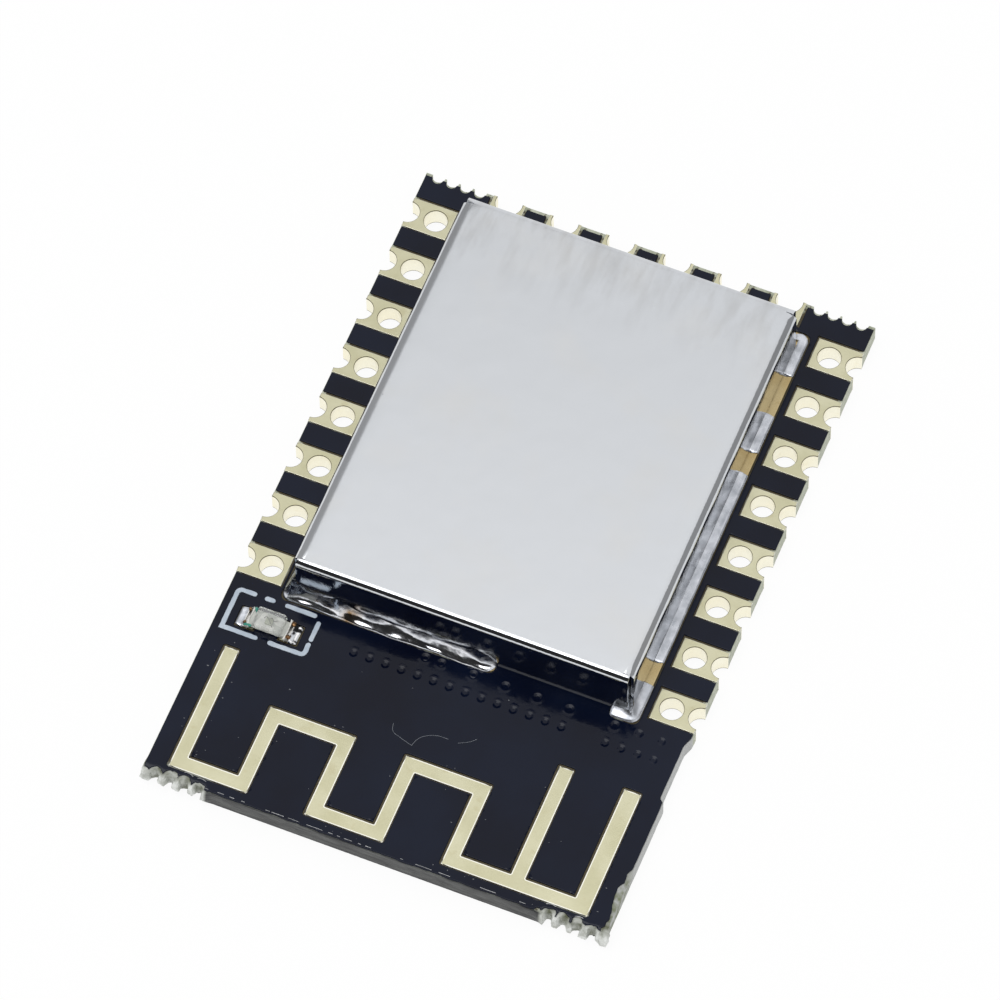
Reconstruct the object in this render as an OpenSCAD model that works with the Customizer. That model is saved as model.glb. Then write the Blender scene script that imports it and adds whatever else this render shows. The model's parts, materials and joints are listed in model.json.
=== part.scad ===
// Castellated 2.4 GHz radio module: a small board with a meander antenna at one end, plated
// half-holes and header holes along its edges, and a folded metal shield over its chips.
// X runs across the board, +Y away from the antenna, +Z up from the underside.

/* [Board] */
// Width of the board between its two long rows of pads
board_w = 16; // [15.5:0.5:18]
// Length of the board from the antenna edge to the far edge
board_l = 24; // [23:0.5:28]
// Thickness of the bare laminate
laminate_t = 0.7; // [0.5:0.1:1.6]
// Thickness of the solder mask with the copper plane under it
mask_t = 0.05; // [0.045:0.005:0.1]
// Thickness of an exposed, plated copper land
land_t = 0.04; // [0.02:0.005:0.045]
// Bare laminate left between a land and the mask
mask_gap = 0.05; // [0.02:0.01:0.08]
// How far the mask stops short of the far edge
mask_setback = 0.12; // [0:0.02:0.3]

/* [Break-off scallops] */
// Scallops left by the breakaway drills at each corner
scallop_count = 4; // [0:1:4]
// Distance between neighbouring scallops
scallop_pitch = 0.5; // [0.45:0.05:0.52]
// Radius of a scallop
scallop_r = 0.22; // [0.15:0.01:0.22]
// Board corner to the centre of the first scallop
scallop_inset = 0.45; // [0.4:0.05:0.6]

/* [Edge pads] */
// Distance between neighbouring pads
pad_pitch = 2; // [1.8:0.05:2.54]
// Length of a pad along the board edge
pad_len = 1.15; // [1.1:0.05:1.4]
// How far a side pad reaches in from the edge
pad_reach = 1.57; // [1.5:0.01:1.65]
// Bore of a plated hole and of an edge half-hole
hole_d = 0.8; // [0.6:0.05:0.9]
// Board edge to the centre of the plated holes
hole_inset = 1; // [0.95:0.01:1.05]
// Thickness of the plating inside the holes
plating_t = 0.035; // [0.02:0.005:0.05]
// Shield's near wall to the centre of the side pads next to it
near_pad = 0.65; // [0.5:0.05:0.9]
// Far edge to the nearest centre that a side pad may have
far_margin = 1.2; // [1.1:0.05:1.6]
// How far a pad on the far edge reaches in
end_reach = 0.9; // [0.6:0.05:1]
// Long edge to the nearest centre that a far-edge pad may have
end_margin = 2.9; // [2.8:0.05:3.5]

/* [Antenna] */
// Width of the antenna trace
trace_w = 0.5; // [0.4:0.05:0.7]
// Width of the feed leg
feed_w = 0.6; // [0.4:0.05:0.8]
// Antenna edge of the board to the trace
antenna_setback = 0.43; // [0.3:0.01:0.6]
// Long edges of the board to the trace
antenna_inset = 0.75; // [0.6:0.05:1]
// Height of the meander's folds
meander_h = 3.18; // [2.5:0.02:4]
// Height of the two end legs and the shorting leg
leg_h = 4.67; // [4.2:0.01:5]
// How much wider the gaps are that close at the top of a fold
fold_extra = 0.28; // [0:0.02:0.6]

/* [Shield] */
// Width of the strip between the antenna and the shield
lamp_strip = 2.6; // [2.5:0.05:3]
// Far edge of the board to the shield
shield_far = 1.45; // [1.35:0.05:2]
// Long edges of the board to the shield
shield_side = 2.1; // [2.05:0.05:2.4]
// Sideways placing of the shield on its land
shield_shift = -0.06; // [-0.1:0.01:0.1]
// Height of the shield
shield_h = 2.1; // [2:0.05:3]
// Thickness of the shield's sheet
sheet_t = 0.2; // [0.15:0.01:0.25]
// Outer radius of the shield's folds
bend_r = 0.24; // [0.22:0.01:0.4]
// Slit between the folded walls at each corner
corner_slit = 0.06; // [0.03:0.01:0.1]
// How far the end walls stop short of the side walls' faces
end_wall_cut = 0.13; // [0.08:0.01:0.18]
// How far the shield's land shows outside its walls
shield_land_out = 0.3; // [0.25:0.01:0.32]
// How far the shield's land reaches in from its walls
shield_land_in = 0.3; // [0.1:0.05:0.4]
// Leg of the solder fillet along the shield
solder_leg = 0.26; // [0.15:0.01:0.29]
// Thinnest edge of the solder fillet
solder_lip = 0.03; // [0.02:0.01:0.05]

/* [Indicator lamp] */
// Length of the lamp
lamp_l = 1.6; // [1.5:0.05:1.8]
// Width of the lamp
lamp_w = 0.8; // [0.7:0.05:0.9]
// Thickness of the lamp's base
lamp_base_t = 0.15; // [0.1:0.01:0.25]
// Height of the lens above the base
lens_h = 0.28; // [0.2:0.01:0.4]
// Length of the lens
lens_l = 1.04; // [0.9:0.02:1.1]
// Long edge of the board to the middle of the lamp
lamp_edge = 1.8; // [1.7:0.05:2.2]
// How far the lamp sits below the middle of its strip
lamp_drop = 0.1; // [0:0.05:0.15]
// Length of the printed outline round the lamp
outline_l = 3.05; // [2.8:0.05:3.2]
// Height of the printed outline round the lamp
outline_w = 1.63; // [1.5:0.01:1.7]
// Width of the printed line
ink_w = 0.15; // [0.1:0.01:0.2]
// Thickness of the printed line
ink_t = 0.02; // [0.01:0.005:0.03]

/* [Ground vias] */
// Distance between neighbouring vias
via_pitch = 0.557; // [0.5:0.001:0.6]
// Outer diameter of a via's barrel
via_d = 0.28; // [0.2:0.01:0.34]
// Bore of a via's barrel
via_bore = 0.16; // [0.1:0.01:0.18]
// Depth of the dimple that the mask leaves over a via
via_dimple = 0.02; // [0.01:0.005:0.03]

/* [Parts under the shield] */
// Side of the square processor package
processor_w = 5; // [4.5:0.1:5.2]
// Thickness of the processor package
processor_t = 0.85; // [0.7:0.05:1]
// Distance between neighbouring processor terminals
processor_pitch = 0.5; // [0.48:0.01:0.52]
// Width of the memory chip's body
memory_w = 3.9; // [3.6:0.1:4]
// Length of the memory chip's body
memory_l = 4.9; // [4.8:0.1:5]
// Height of the memory chip's body
memory_t = 1.3; // [1.1:0.05:1.4]
// Span across the feet of the memory chip's leads
memory_span = 6; // [5.8:0.05:6.2]
// Distance between neighbouring memory leads
memory_pitch = 1.27; // [1.2:0.01:1.3]
// Width of the crystal's case
crystal_w = 2.5; // [2.3:0.1:2.6]
// Length of the crystal's case
crystal_l = 3.2; // [3:0.1:3.3]
// Length of a small resistor, capacitor or inductor
chip_l = 1; // [0.9:0.05:1.05]
// Width of a small resistor, capacitor or inductor
chip_w = 0.5; // [0.4:0.05:0.55]

/* [Hidden] */
$fn = 48;
// Overshoot of a cutter past the face that it cuts
over = 1;

// Levels, from the underside up
core_z = mask_t;
top_z = core_z + laminate_t;
land_z = top_z + land_t;
face_z = top_z + mask_t;

// Board edges
right_x = board_w / 2;
near_y = -board_l / 2;
far_y = board_l / 2;

// Antenna: seven legs across the free width, with the gaps shared out between them
trace_x = -right_x + antenna_inset;
antenna_w = board_w - 2 * antenna_inset;
trace_y = near_y + antenna_setback;
leg_top = trace_y + leg_h;
fold_top = trace_y + meander_h;
low_gap = (antenna_w - 6 * trace_w - feed_w - 2 * fold_extra) / 6;
high_gap = low_gap + fold_extra;
low_step = trace_w + low_gap;
high_step = trace_w + high_gap;
leg_x = [
    trace_x,
    trace_x + low_step,
    trace_x + low_step + high_step,
    trace_x + 2 * low_step + high_step,
    trace_x + 2 * low_step + 2 * high_step,
    trace_x + 3 * low_step + 2 * high_step,
    trace_x + 4 * low_step + 2 * high_step
];

// Shield
shield_w = board_w - 2 * shield_side;
shield_near = leg_top + lamp_strip;
shield_end = far_y - shield_far;
shield_l = shield_end - shield_near;
shield_x = shield_shift;
shield_y = (shield_near + shield_end) / 2;
inner_left = shield_x - shield_w / 2 + sheet_t;
inner_right = shield_x + shield_w / 2 - sheet_t;
inner_near = shield_near + sheet_t;
inner_far = shield_end - sheet_t;
// Stretches of each wall that are soldered, as shares of its length from its left or near end
side_beads = [[0, 0.083], [0.136, 0.645], [0.698, 0.804], [0.906, 1]];
near_beads = [[0, 0.605], [0.942, 1]];
far_beads = [[0, 1]];

// Edge pads
hole_r = hole_d / 2;
barrel_r = hole_r + plating_t;
side_start = shield_near + near_pad;
side_count = floor((far_y - far_margin - side_start) / pad_pitch) + 1;
side_pad_y = [for (i = [0 : side_count - 1]) side_start + i * pad_pitch];
end_count = floor((board_w - 2 * end_margin) / pad_pitch) + 1;
end_pad_x = [for (i = [0 : end_count - 1]) (i - (end_count - 1) / 2) * pad_pitch];

// Lamp
strip_y = leg_top + lamp_strip / 2;
lamp_x = -right_x + lamp_edge;
lamp_y = strip_y - lamp_drop;
lamp_film = 0.03;
lamp_cap = 0.2;
lamp_notch_r = 0.12;
lamp_land_in = 0.35;
lamp_land_out = 0.26;
lamp_land = [lamp_l / 2 - lamp_land_in, lamp_l / 2 + lamp_land_out];
lamp_trim = 0.03;
lamp_land_w = lamp_w + lamp_trim;
lamp_solder_h = 0.16;
lamp_solder_l = 0.22;
lamp_solder_w = lamp_w - lamp_trim;
lamp_mark_w = 0.06;
lamp_mark_t = 0.012;
lens_slope = 0.05;
lens_w = lamp_w - 2 * lamp_trim;
lamp_die_w = 0.24;
lamp_die_h = 0.1;
lamp_base_z = land_z + lamp_film;
lamp_top_z = lamp_base_z + lamp_base_t;
outline_rise = 0.15;
outline_y = lamp_y + outline_rise;
short_arm = 0.55;
long_arm = 1.19;
dot_x = [1, 1.2];
dash_gap = 0.22;
side_break = [0.4, 0.61];

// Vias: a full row in the middle of the lamp strip with a short row by the right edge, and a
// sparse row nearer the shield, which skips some of the places above it
via_lamp_gap = 2.9;
via_feed_gap = 4;
via_edge = 0.87;
via_rise = 0.72;
via_start = lamp_x + via_lamp_gap;
via_count = floor((right_x - via_feed_gap - via_start) / via_pitch) + 1;
via_end = right_x - via_edge;
via_end_count = 4;
via_places = concat(
    [for (i = [0 : via_count - 1]) [via_start + i * via_pitch, strip_y]],
    [for (i = [0 : via_end_count - 1]) [via_end - i * via_pitch, strip_y]],
    [for (i = [4, 5, 7, 9, 11, 13]) [via_start + i * via_pitch, strip_y + via_rise]],
    [for (i = [0, 1.4, 2.9]) [via_end - i * via_pitch, strip_y + via_rise]]
);

// Floor plan under the shield: a zone of two columns along the left wall, one column along the
// right wall, a row by the antenna feed, and the two chips in the space between
left_zone = 3;
right_zone = 1;
feed_zone = 1.15;
far_zone = 0.3;
wall_gap = shield_land_in + 0.15;

// Processor: terminals on all four sides round a heat pad
processor_corner = 0.7;
processor_side = floor((processor_w - 2 * processor_corner) / processor_pitch) + 1;
terminal_w = 0.25;
terminal_l = 0.4;
terminal_t = 0.2;
heat_pad = 3.3;
toe = 0.25;
land_rim = 0.02;
processor_x = (inner_left + left_zone + inner_right - right_zone) / 2;
processor_y = inner_near + feed_zone + processor_w / 2 + toe;

// Underside of the packages, clear of the mask
part_lift = 0.01;
part_z = face_z + part_lift;

// Memory chip: four gull-wing leads a side
memory_x = processor_x;
memory_y = inner_far - far_zone - memory_l / 2;
memory_side = 4;
memory_lift = 0.12;
memory_bevel = 0.15;
lead_w = 0.4;
lead_t = 0.2;
foot_l = 0.6;

// Crystal
crystal_x = inner_left + wall_gap + crystal_w / 2;
crystal_y = inner_near + wall_gap + crystal_l / 2;
crystal_case_t = 0.4;
crystal_lid_t = 0.3;
crystal_rim = 0.15;
crystal_pad = [0.9, 1.1];

// Small two-ended parts, as [x, y, turned], by row or column
chip_step = 1.3;
column_step = 1.4;
column_inset = shield_land_in + 0.4;
row_inset = 0.7;
row_end = shield_land_in + 0.75;
turned = 90;
left_x = [for (i = [0, 1]) inner_left + column_inset + i * column_step];
left_y = [for (i = [0 : 5]) crystal_y + crystal_l / 2 + row_inset + i * chip_step];
right_y = [for (i = [0 : 3]) inner_near + feed_zone + row_inset + i * chip_step];
feed_x = [for (i = [0 : 2]) inner_right - row_end - i * column_step];
feed_y = inner_near + row_inset;
cap_places = concat(
    [for (y = right_y) [inner_right - column_inset, y, turned]],
    [for (x = left_x, i = [4, 5]) [x, left_y[i], turned]],
    [[feed_x[1], feed_y, 0]]
);
resistor_places = [for (x = left_x, i = [0 : 3]) [x, left_y[i], turned]];
inductor_places = [for (i = [0, 2]) [feed_x[i], feed_y, 0]];
chip_end = 0.22;
chip_land = 0.26;
chip_toe = 0.12;
chip_skin = 0.01;
cap_h = 0.5;
resistor_h = 0.35;
inductor_h = 0.5;

// A flat bar from one corner to the other, widened all round by grow
module bar(x0, y0, x1, y1, grow = 0) {
    translate([x0 - grow, y0 - grow]) square([x1 - x0 + 2 * grow, y1 - y0 + 2 * grow]);
}

// A flat rectangle about a centre, widened all round by grow
module plate(x, y, w, l, grow = 0) {
    translate([x, y]) square([w + 2 * grow, l + 2 * grow], center = true);
}

// A layer of the board: the flat shape that follows, from one level up
module layer(z, t) {
    translate([0, 0, z]) linear_extrude(t) children();
}

// Copies for each of the two long edges' pads: local +X points out of the board, edge at x = 0
module at_side(right) {
    for (y = side_pad_y) {
        translate([right ? right_x : -right_x, y, 0]) rotate([0, 0, right ? 0 : 180]) children();
    }
}

// Copies for each pad of the far edge
module at_end() {
    for (x = end_pad_x) {
        translate([x, far_y, 0]) rotate([0, 0, 90]) children();
    }
}

// Board outline with the scallops of the breakaway corners
module board_outline(setback = 0) {
    difference() {
        bar(-right_x, near_y, right_x, far_y - setback);
        for (sx = [-1, 1], y = [near_y, far_y], i = [0 : 1 : scallop_count - 1]) {
            x = sx * (right_x - scallop_inset - i * scallop_pitch);
            translate([x, y]) circle(r = scallop_r);
        }
    }
}

// Openings for the edge pads in the mask
module pad_openings() {
    for (right = [false, true]) {
        at_side(right) bar(-pad_reach - mask_gap, -pad_len / 2 - mask_gap, over, pad_len / 2 + mask_gap);
    }
    at_end() bar(-end_reach - mask_gap, -pad_len / 2 - mask_gap, over, pad_len / 2 + mask_gap);
}

module substrate() {
    color("#8f8f78") layer(core_z, laminate_t) difference() {
        board_outline();
        for (right = [false, true]) {
            at_side(right) {
                circle(r = barrel_r);
                translate([-hole_inset, 0]) circle(r = barrel_r);
            }
        }
        at_end() circle(r = barrel_r);
        for (p = via_places) {
            translate(p) circle(d = via_d);
        }
    }
}

// Meander trace: joined at the bottom in pairs and at the top in between, with a shorting leg
module trace_shape(grow = 0) {
    for (i = [0, 5]) {
        bar(leg_x[i], trace_y, leg_x[i] + trace_w, leg_top, grow);
    }
    for (i = [1 : 4]) {
        bar(leg_x[i], trace_y, leg_x[i] + trace_w, fold_top, grow);
    }
    bar(leg_x[6], trace_y, leg_x[6] + feed_w, leg_top, grow);
    for (i = [1, 3]) {
        bar(leg_x[i], fold_top - trace_w, leg_x[i + 1] + trace_w, fold_top, grow);
    }
    for (ends = [[0, 1], [2, 3], [4, 6]]) {
        bar(leg_x[ends[0]], trace_y, leg_x[ends[1]] + trace_w, trace_y + trace_w, grow);
    }
}

module antenna_trace() {
    color("#cfc6a4") layer(top_z, land_t) trace_shape();
}

// A plated edge pad: a land above and below, and a barrel that joins them in each hole
module edge_pad(reach, with_hole) {
    difference() {
        union() {
            for (z = [core_z - land_t, top_z]) {
                layer(z, land_t) bar(-reach, -pad_len / 2, 0, pad_len / 2);
            }
            layer(core_z, laminate_t) intersection() {
                circle(r = barrel_r);
                bar(-reach, -pad_len / 2, 0, pad_len / 2);
            }
            if (with_hole) {
                layer(core_z, laminate_t) translate([-hole_inset, 0]) circle(r = barrel_r);
            }
        }
        translate([0, 0, -over]) cylinder(h = face_z + 2 * over, r = hole_r);
        if (with_hole) {
            translate([-hole_inset, 0, -over]) cylinder(h = face_z + 2 * over, r = hole_r);
        }
    }
}

module left_pads() {
    color("#d6cdaa") at_side(false) edge_pad(pad_reach, true);
}

module right_pads() {
    color("#d6cdaa") at_side(true) edge_pad(pad_reach, true);
}

module end_pads() {
    color("#d6cdaa") at_end() edge_pad(end_reach, false);
}

module ground_vias() {
    color("#b4784a") layer(core_z, laminate_t) {
        for (p = via_places) {
            translate(p) difference() {
                circle(d = via_d);
                circle(d = via_bore);
            }
        }
    }
}

// Ring of land that the shield stands on, open where the antenna feed passes under its near wall
module shield_ring(grow = 0) {
    out = shield_land_out + grow;
    in = sheet_t + shield_land_in + grow;
    gap = [for (s = [near_beads[0][1], near_beads[1][0]]) shield_x + (s - 0.5) * shield_w];
    difference() {
        plate(shield_x, shield_y, shield_w + 2 * out, shield_l + 2 * out);
        plate(shield_x, shield_y, shield_w - 2 * in, shield_l - 2 * in);
        bar(gap[0] + grow, shield_near - out - over, gap[1] - grow, shield_near + in + over);
    }
}

module shield_land() {
    color("#c9a866") layer(top_z, land_t) shield_ring();
}

// One fold of the shield along X: a wall of the given span, with the bend that joins it to the top
module folded_wall(span) {
    rotate([90, 0, 90]) translate([0, 0, -span / 2]) linear_extrude(span) {
        bar(0, 0, sheet_t, shield_h - bend_r);
        translate([bend_r, shield_h - bend_r]) intersection() {
            difference() {
                circle(r = bend_r);
                circle(r = bend_r - sheet_t);
            }
            bar(-bend_r, 0, 0, bend_r);
        }
    }
}

module shield_can() {
    side_cut = sheet_t + corner_slit;
    color("#c8cbd2") translate([shield_x, shield_y, face_z]) {
        for (a = [0, 180]) {
            rotate([0, 0, a]) {
                translate([0, -shield_l / 2, 0]) folded_wall(shield_w - 2 * end_wall_cut);
                rotate([0, 0, 90]) translate([0, -shield_w / 2, 0]) folded_wall(shield_l - 2 * side_cut);
            }
        }
        translate([0, 0, shield_h - sheet_t]) linear_extrude(sheet_t) {
            plate(0, 0, shield_w - 2 * end_wall_cut, shield_l - 2 * bend_r);
            plate(0, 0, shield_w - 2 * bend_r, shield_l - 2 * bend_r);
        }
    }
}

// Hollow-faced fillet section, with the wall at x = 0 and the land at y = 0
module fillet_section() {
    difference() {
        square(solder_leg);
        translate([solder_leg, solder_leg]) circle(r = solder_leg - solder_lip);
    }
}

// Fillets along one wall that runs from x = 0 to x = span, on the wall's -Y side
module wall_beads(span, beads) {
    for (b = beads) {
        translate([b[0] * span, 0, 0]) rotate([90, 0, 90]) mirror([1, 0, 0])
            linear_extrude((b[1] - b[0]) * span) fillet_section();
    }
}

// Fillet that turns round a corner of the shield, starting at the angle given
module corner_bead(angle) {
    rotate([0, 0, angle]) rotate_extrude(angle = 90) fillet_section();
}

module shield_solder() {
    w = shield_w / 2;
    l = shield_l / 2;
    color("#d9dbe0") translate([shield_x, shield_y, land_z]) {
        translate([-w, -l, 0]) wall_beads(shield_w, near_beads);
        translate([w, -l, 0]) rotate([0, 0, 90]) wall_beads(shield_l, side_beads);
        translate([w, l, 0]) rotate([0, 0, 180]) wall_beads(shield_w, far_beads);
        mirror([1, 0, 0]) translate([w, -l, 0]) rotate([0, 0, 90]) wall_beads(shield_l, side_beads);
        translate([w, -l, 0]) corner_bead(270);
        translate([w, l, 0]) corner_bead(0);
        translate([-w, l, 0]) corner_bead(90);
        translate([-w, -l, 0]) corner_bead(180);
    }
}

// A printed stroke with round ends
module stroke(x0, y0, x1, y1) {
    length = norm([x1 - x0, y1 - y0]);
    translate([x0, y0]) rotate([0, 0, atan2(y1 - y0, x1 - x0)]) {
        bar(0, -ink_w / 2, length, ink_w / 2);
        circle(d = ink_w);
        translate([length, 0]) circle(d = ink_w);
    }
}

// Broken outline round the lamp: a bracket on each side, a dot and a dash along the top
module lamp_outline() {
    a = (outline_l - ink_w) / 2;
    b = (outline_w - ink_w) / 2;
    color("#b9c4d6") layer(face_z, ink_t) translate([lamp_x, outline_y]) {
        stroke(-a, b, -a + short_arm, b);
        stroke(-a, -b, -a, b);
        stroke(-a, -b, -a + long_arm, -b);
        stroke(-a + dot_x[0], b, -a + dot_x[1], b);
        stroke(a - long_arm, b, a - dash_gap, b);
        stroke(a, -b + side_break[1], a, b - dash_gap);
        stroke(a, -b, a, -b + side_break[0]);
        stroke(a - long_arm, -b, a, -b);
    }
}

module lamp_land_shapes(grow = 0) {
    for (s = [-1, 1]) {
        mid = (lamp_land[0] + lamp_land[1]) / 2;
        plate(lamp_x + s * mid, lamp_y, lamp_land[1] - lamp_land[0], lamp_land_w, grow);
    }
}

module lamp_lands() {
    color("#cfc6a4") layer(top_z, land_t) lamp_land_shapes();
}

// The four notches in the lamp's corners
module lamp_notches() {
    for (sx = [-1, 1], sy = [-1, 1]) {
        translate([sx * lamp_l / 2, sy * lamp_w / 2, -over])
            cylinder(h = lamp_base_t + 3 * over, r = lamp_notch_r);
    }
}

// The base is a slip of laminate, thinner by a film than the metal caps folded round its ends
module lamp_base() {
    color("#e8e6dc") translate([lamp_x, lamp_y, land_z]) difference() {
        layer(lamp_film, lamp_base_t) plate(0, 0, lamp_l - 2 * lamp_film, lamp_w);
        lamp_notches();
    }
}

module lamp_terminals() {
    color("#c9b28a") translate([lamp_x, lamp_y, land_z]) difference() {
        for (a = [0, 180]) {
            rotate([90, 0, a]) translate([lamp_l / 2, 0, -lamp_w / 2]) linear_extrude(lamp_w) difference() {
                bar(-lamp_cap, 0, 0, lamp_base_t + 2 * lamp_film);
                bar(-lamp_cap - over, lamp_film, -lamp_film, lamp_film + lamp_base_t);
            }
        }
        lamp_notches();
    }
}

module lamp_die() {
    color("#8f9a6a") layer(lamp_top_z, lamp_die_h) plate(lamp_x, lamp_y, lamp_die_w, lamp_die_w);
}

// Clear block with sloped ends, cast round the die
module lamp_lens() {
    a = lens_l / 2;
    color("#dfe3e0") translate([lamp_x, lamp_y, lamp_top_z]) difference() {
        rotate([90, 0, 0]) translate([0, 0, -lens_w / 2]) linear_extrude(lens_w)
            polygon([[-a, 0], [a, 0], [a - lens_slope, lens_h], [-a + lens_slope, lens_h]]);
        translate([0, 0, -over]) linear_extrude(over + lamp_die_h) plate(0, 0, lamp_die_w, lamp_die_w);
    }
}

module lamp_polarity_mark() {
    x = lamp_x - (lens_l + lamp_mark_w) / 2;
    color("#2f7f6b") layer(lamp_top_z, lamp_mark_t) plate(x, lamp_y, lamp_mark_w, lens_w);
}

module lamp_solder() {
    color("#c7c9cf") translate([lamp_x, lamp_y, land_z]) {
        for (a = [0, 180]) {
            rotate([90, 0, a]) translate([lamp_l / 2, 0, -lamp_solder_w / 2]) linear_extrude(lamp_solder_w)
                polygon([[0, 0], [lamp_solder_l, 0], [lamp_solder_l, solder_lip], [0, lamp_solder_h]]);
        }
    }
}

// Copies for each processor terminal: local +X points out of the package, its side at x = 0
module at_terminals() {
    for (a = [0 : 90 : 270], i = [0 : processor_side - 1]) {
        translate([processor_x, processor_y]) rotate([0, 0, a])
            translate([processor_w / 2, (i - (processor_side - 1) / 2) * processor_pitch]) children();
    }
}

// Copies for each memory lead: local +X points out of the chip, the lead's toe at x = 0
module at_leads() {
    for (a = [0, 180], i = [0 : memory_side - 1]) {
        translate([memory_x, memory_y]) rotate([0, 0, a])
            translate([memory_span / 2, (i - (memory_side - 1) / 2) * memory_pitch]) children();
    }
}

module at_crystal_pads() {
    for (sx = [-1, 1], sy = [-1, 1]) {
        x = crystal_x + sx * (crystal_w - crystal_pad[0]) / 2;
        y = crystal_y + sy * (crystal_l - crystal_pad[1]) / 2;
        translate([x, y]) children();
    }
}

// Copies for each end of the small parts: local +X points out of the end, its face at x = 0
module at_chip_ends(places) {
    for (p = places, a = [0, 180]) {
        translate([p[0], p[1]]) rotate([0, 0, p[2] + a]) translate([chip_l / 2, 0]) children();
    }
}

module part_land_shapes(grow = 0) {
    plate(processor_x, processor_y, heat_pad, heat_pad, grow);
    at_leads() bar(-foot_l - lead_t, -lead_w / 2 - land_rim, toe, lead_w / 2 + land_rim, grow);
    at_crystal_pads() plate(0, 0, crystal_pad[0], crystal_pad[1], grow);
    at_chip_ends(concat(cap_places, resistor_places, inductor_places))
        bar(-chip_land, -chip_w / 2 - land_rim, chip_toe, chip_w / 2 + land_rim, grow);
}

module part_lands() {
    color("#c9a866") layer(top_z, land_t) {
        part_land_shapes();
        at_terminals() bar(-terminal_l, -terminal_w / 2, toe, terminal_w / 2);
    }
}

// Mask openings under the shield: one long window for each side of the processor
module part_windows() {
    span = (processor_side - 1) * processor_pitch + terminal_w;
    part_land_shapes(mask_gap);
    for (a = [0 : 90 : 270]) {
        translate([processor_x, processor_y]) rotate([0, 0, a]) translate([processor_w / 2, 0])
            bar(-terminal_l, -span / 2, toe, span / 2, mask_gap);
    }
}

module top_mask() {
    color("#23262f") difference() {
        layer(top_z, mask_t) difference() {
            board_outline(mask_setback);
            pad_openings();
            trace_shape(mask_gap);
            shield_ring(mask_gap);
            lamp_land_shapes(mask_gap);
            part_windows();
        }
        for (p = via_places) {
            translate([p[0], p[1], face_z - via_dimple]) cylinder(h = over, d = via_d);
        }
    }
}

module bottom_mask() {
    color("#23262f") layer(0, mask_t) difference() {
        board_outline(mask_setback);
        pad_openings();
    }
}

// Moulded square package, pocketed for the terminals that show along its lower edges
module processor() {
    color("#2b2b2d") difference() {
        layer(part_z, processor_t) plate(processor_x, processor_y, processor_w, processor_w);
        translate([0, 0, part_z - over]) linear_extrude(over + terminal_t) {
            at_terminals() bar(-terminal_l, -terminal_w / 2, over, terminal_w / 2);
            plate(processor_x, processor_y, heat_pad, heat_pad);
        }
    }
}

module processor_terminals() {
    color("#c9b28a") layer(land_z, part_z - land_z + terminal_t) {
        at_terminals() bar(-terminal_l, -terminal_w / 2, 0, terminal_w / 2);
        plate(processor_x, processor_y, heat_pad, heat_pad);
    }
}

// Moulded body with drafted sides, upright only where the leads leave it
module memory_chip() {
    a = memory_w / 2;
    mid = memory_t / 2;
    half = [
        [a - memory_bevel, 0], [a, mid - lead_t / 2], [a, mid + lead_t / 2], [a - memory_bevel, memory_t]
    ];
    color("#2b2b2d") translate([memory_x, memory_y, land_z + memory_lift]) rotate([90, 0, 0])
        translate([0, 0, -memory_l / 2]) linear_extrude(memory_l)
            polygon(concat(half, [for (i = [3 : -1 : 0]) [-half[i][0], half[i][1]]]));
}

// Gull-wing leads: foot, rising leg and shoulder
module memory_leads() {
    run = (memory_span - memory_w) / 2;
    rise = memory_lift + (memory_t - lead_t) / 2;
    color("#b9bcc4") translate([0, 0, land_z]) at_leads() {
        rotate([90, 0, 0]) translate([0, 0, -lead_w / 2]) linear_extrude(lead_w) polygon([
            [0, 0], [0, lead_t], [-foot_l + lead_t / 2, lead_t], [-foot_l + lead_t / 4, rise + lead_t],
            [-run, rise + lead_t], [-run, rise], [-foot_l - 3 * lead_t / 4, rise],
            [-foot_l - lead_t / 2, 0]
        ]);
    }
}

module crystal_case() {
    color("#6d6a66") {
        layer(part_z, crystal_case_t) plate(crystal_x, crystal_y, crystal_w, crystal_l);
        layer(land_z, part_z - land_z) at_crystal_pads() plate(0, 0, crystal_pad[0], crystal_pad[1]);
    }
}

module crystal_lid() {
    color("#c8c4b4") layer(part_z + crystal_case_t, crystal_lid_t)
        plate(crystal_x, crystal_y, crystal_w - 2 * crystal_rim, crystal_l - 2 * crystal_rim);
}

// Bodies of the small parts, between their end caps
module chip_bodies(places, h) {
    for (p = places) {
        translate([p[0], p[1], part_z]) rotate([0, 0, p[2]]) linear_extrude(h - chip_skin)
            plate(0, 0, chip_l - 2 * chip_end, chip_w - 2 * chip_skin);
    }
}

module chip_ends(places, h) {
    layer(land_z, h + part_z - land_z) at_chip_ends(places) bar(-chip_end, -chip_w / 2, 0, chip_w / 2);
}

module capacitors() {
    color("#b08d62") chip_bodies(cap_places, cap_h);
}

module capacitor_terminals() {
    color("#c4c6cb") chip_ends(cap_places, cap_h);
}

module resistors() {
    color("#26282c") chip_bodies(resistor_places, resistor_h);
}

module resistor_terminals() {
    color("#c4c6cb") chip_ends(resistor_places, resistor_h);
}

module inductors() {
    color("#c9d3dc") chip_bodies(inductor_places, inductor_h);
}

module inductor_terminals() {
    color("#c4c6cb") chip_ends(inductor_places, inductor_h);
}

substrate();
top_mask();
bottom_mask();
antenna_trace();
left_pads();
right_pads();
end_pads();
ground_vias();
shield_land();
shield_can();
shield_solder();
lamp_outline();
lamp_lands();
lamp_base();
lamp_terminals();
lamp_die();
lamp_lens();
lamp_polarity_mark();
lamp_solder();
part_lands();
processor();
processor_terminals();
memory_chip();
memory_leads();
crystal_case();
crystal_lid();
capacitors();
capacitor_terminals();
resistors();
resistor_terminals();
inductors();
inductor_terminals();
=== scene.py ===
"""Finishes and fine shapes of a small castellated radio module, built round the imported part.

Shapes are worked out in millimetres in the part's own frame and turned into metres when a piece is made.
"""
import json
import math
import random

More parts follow.
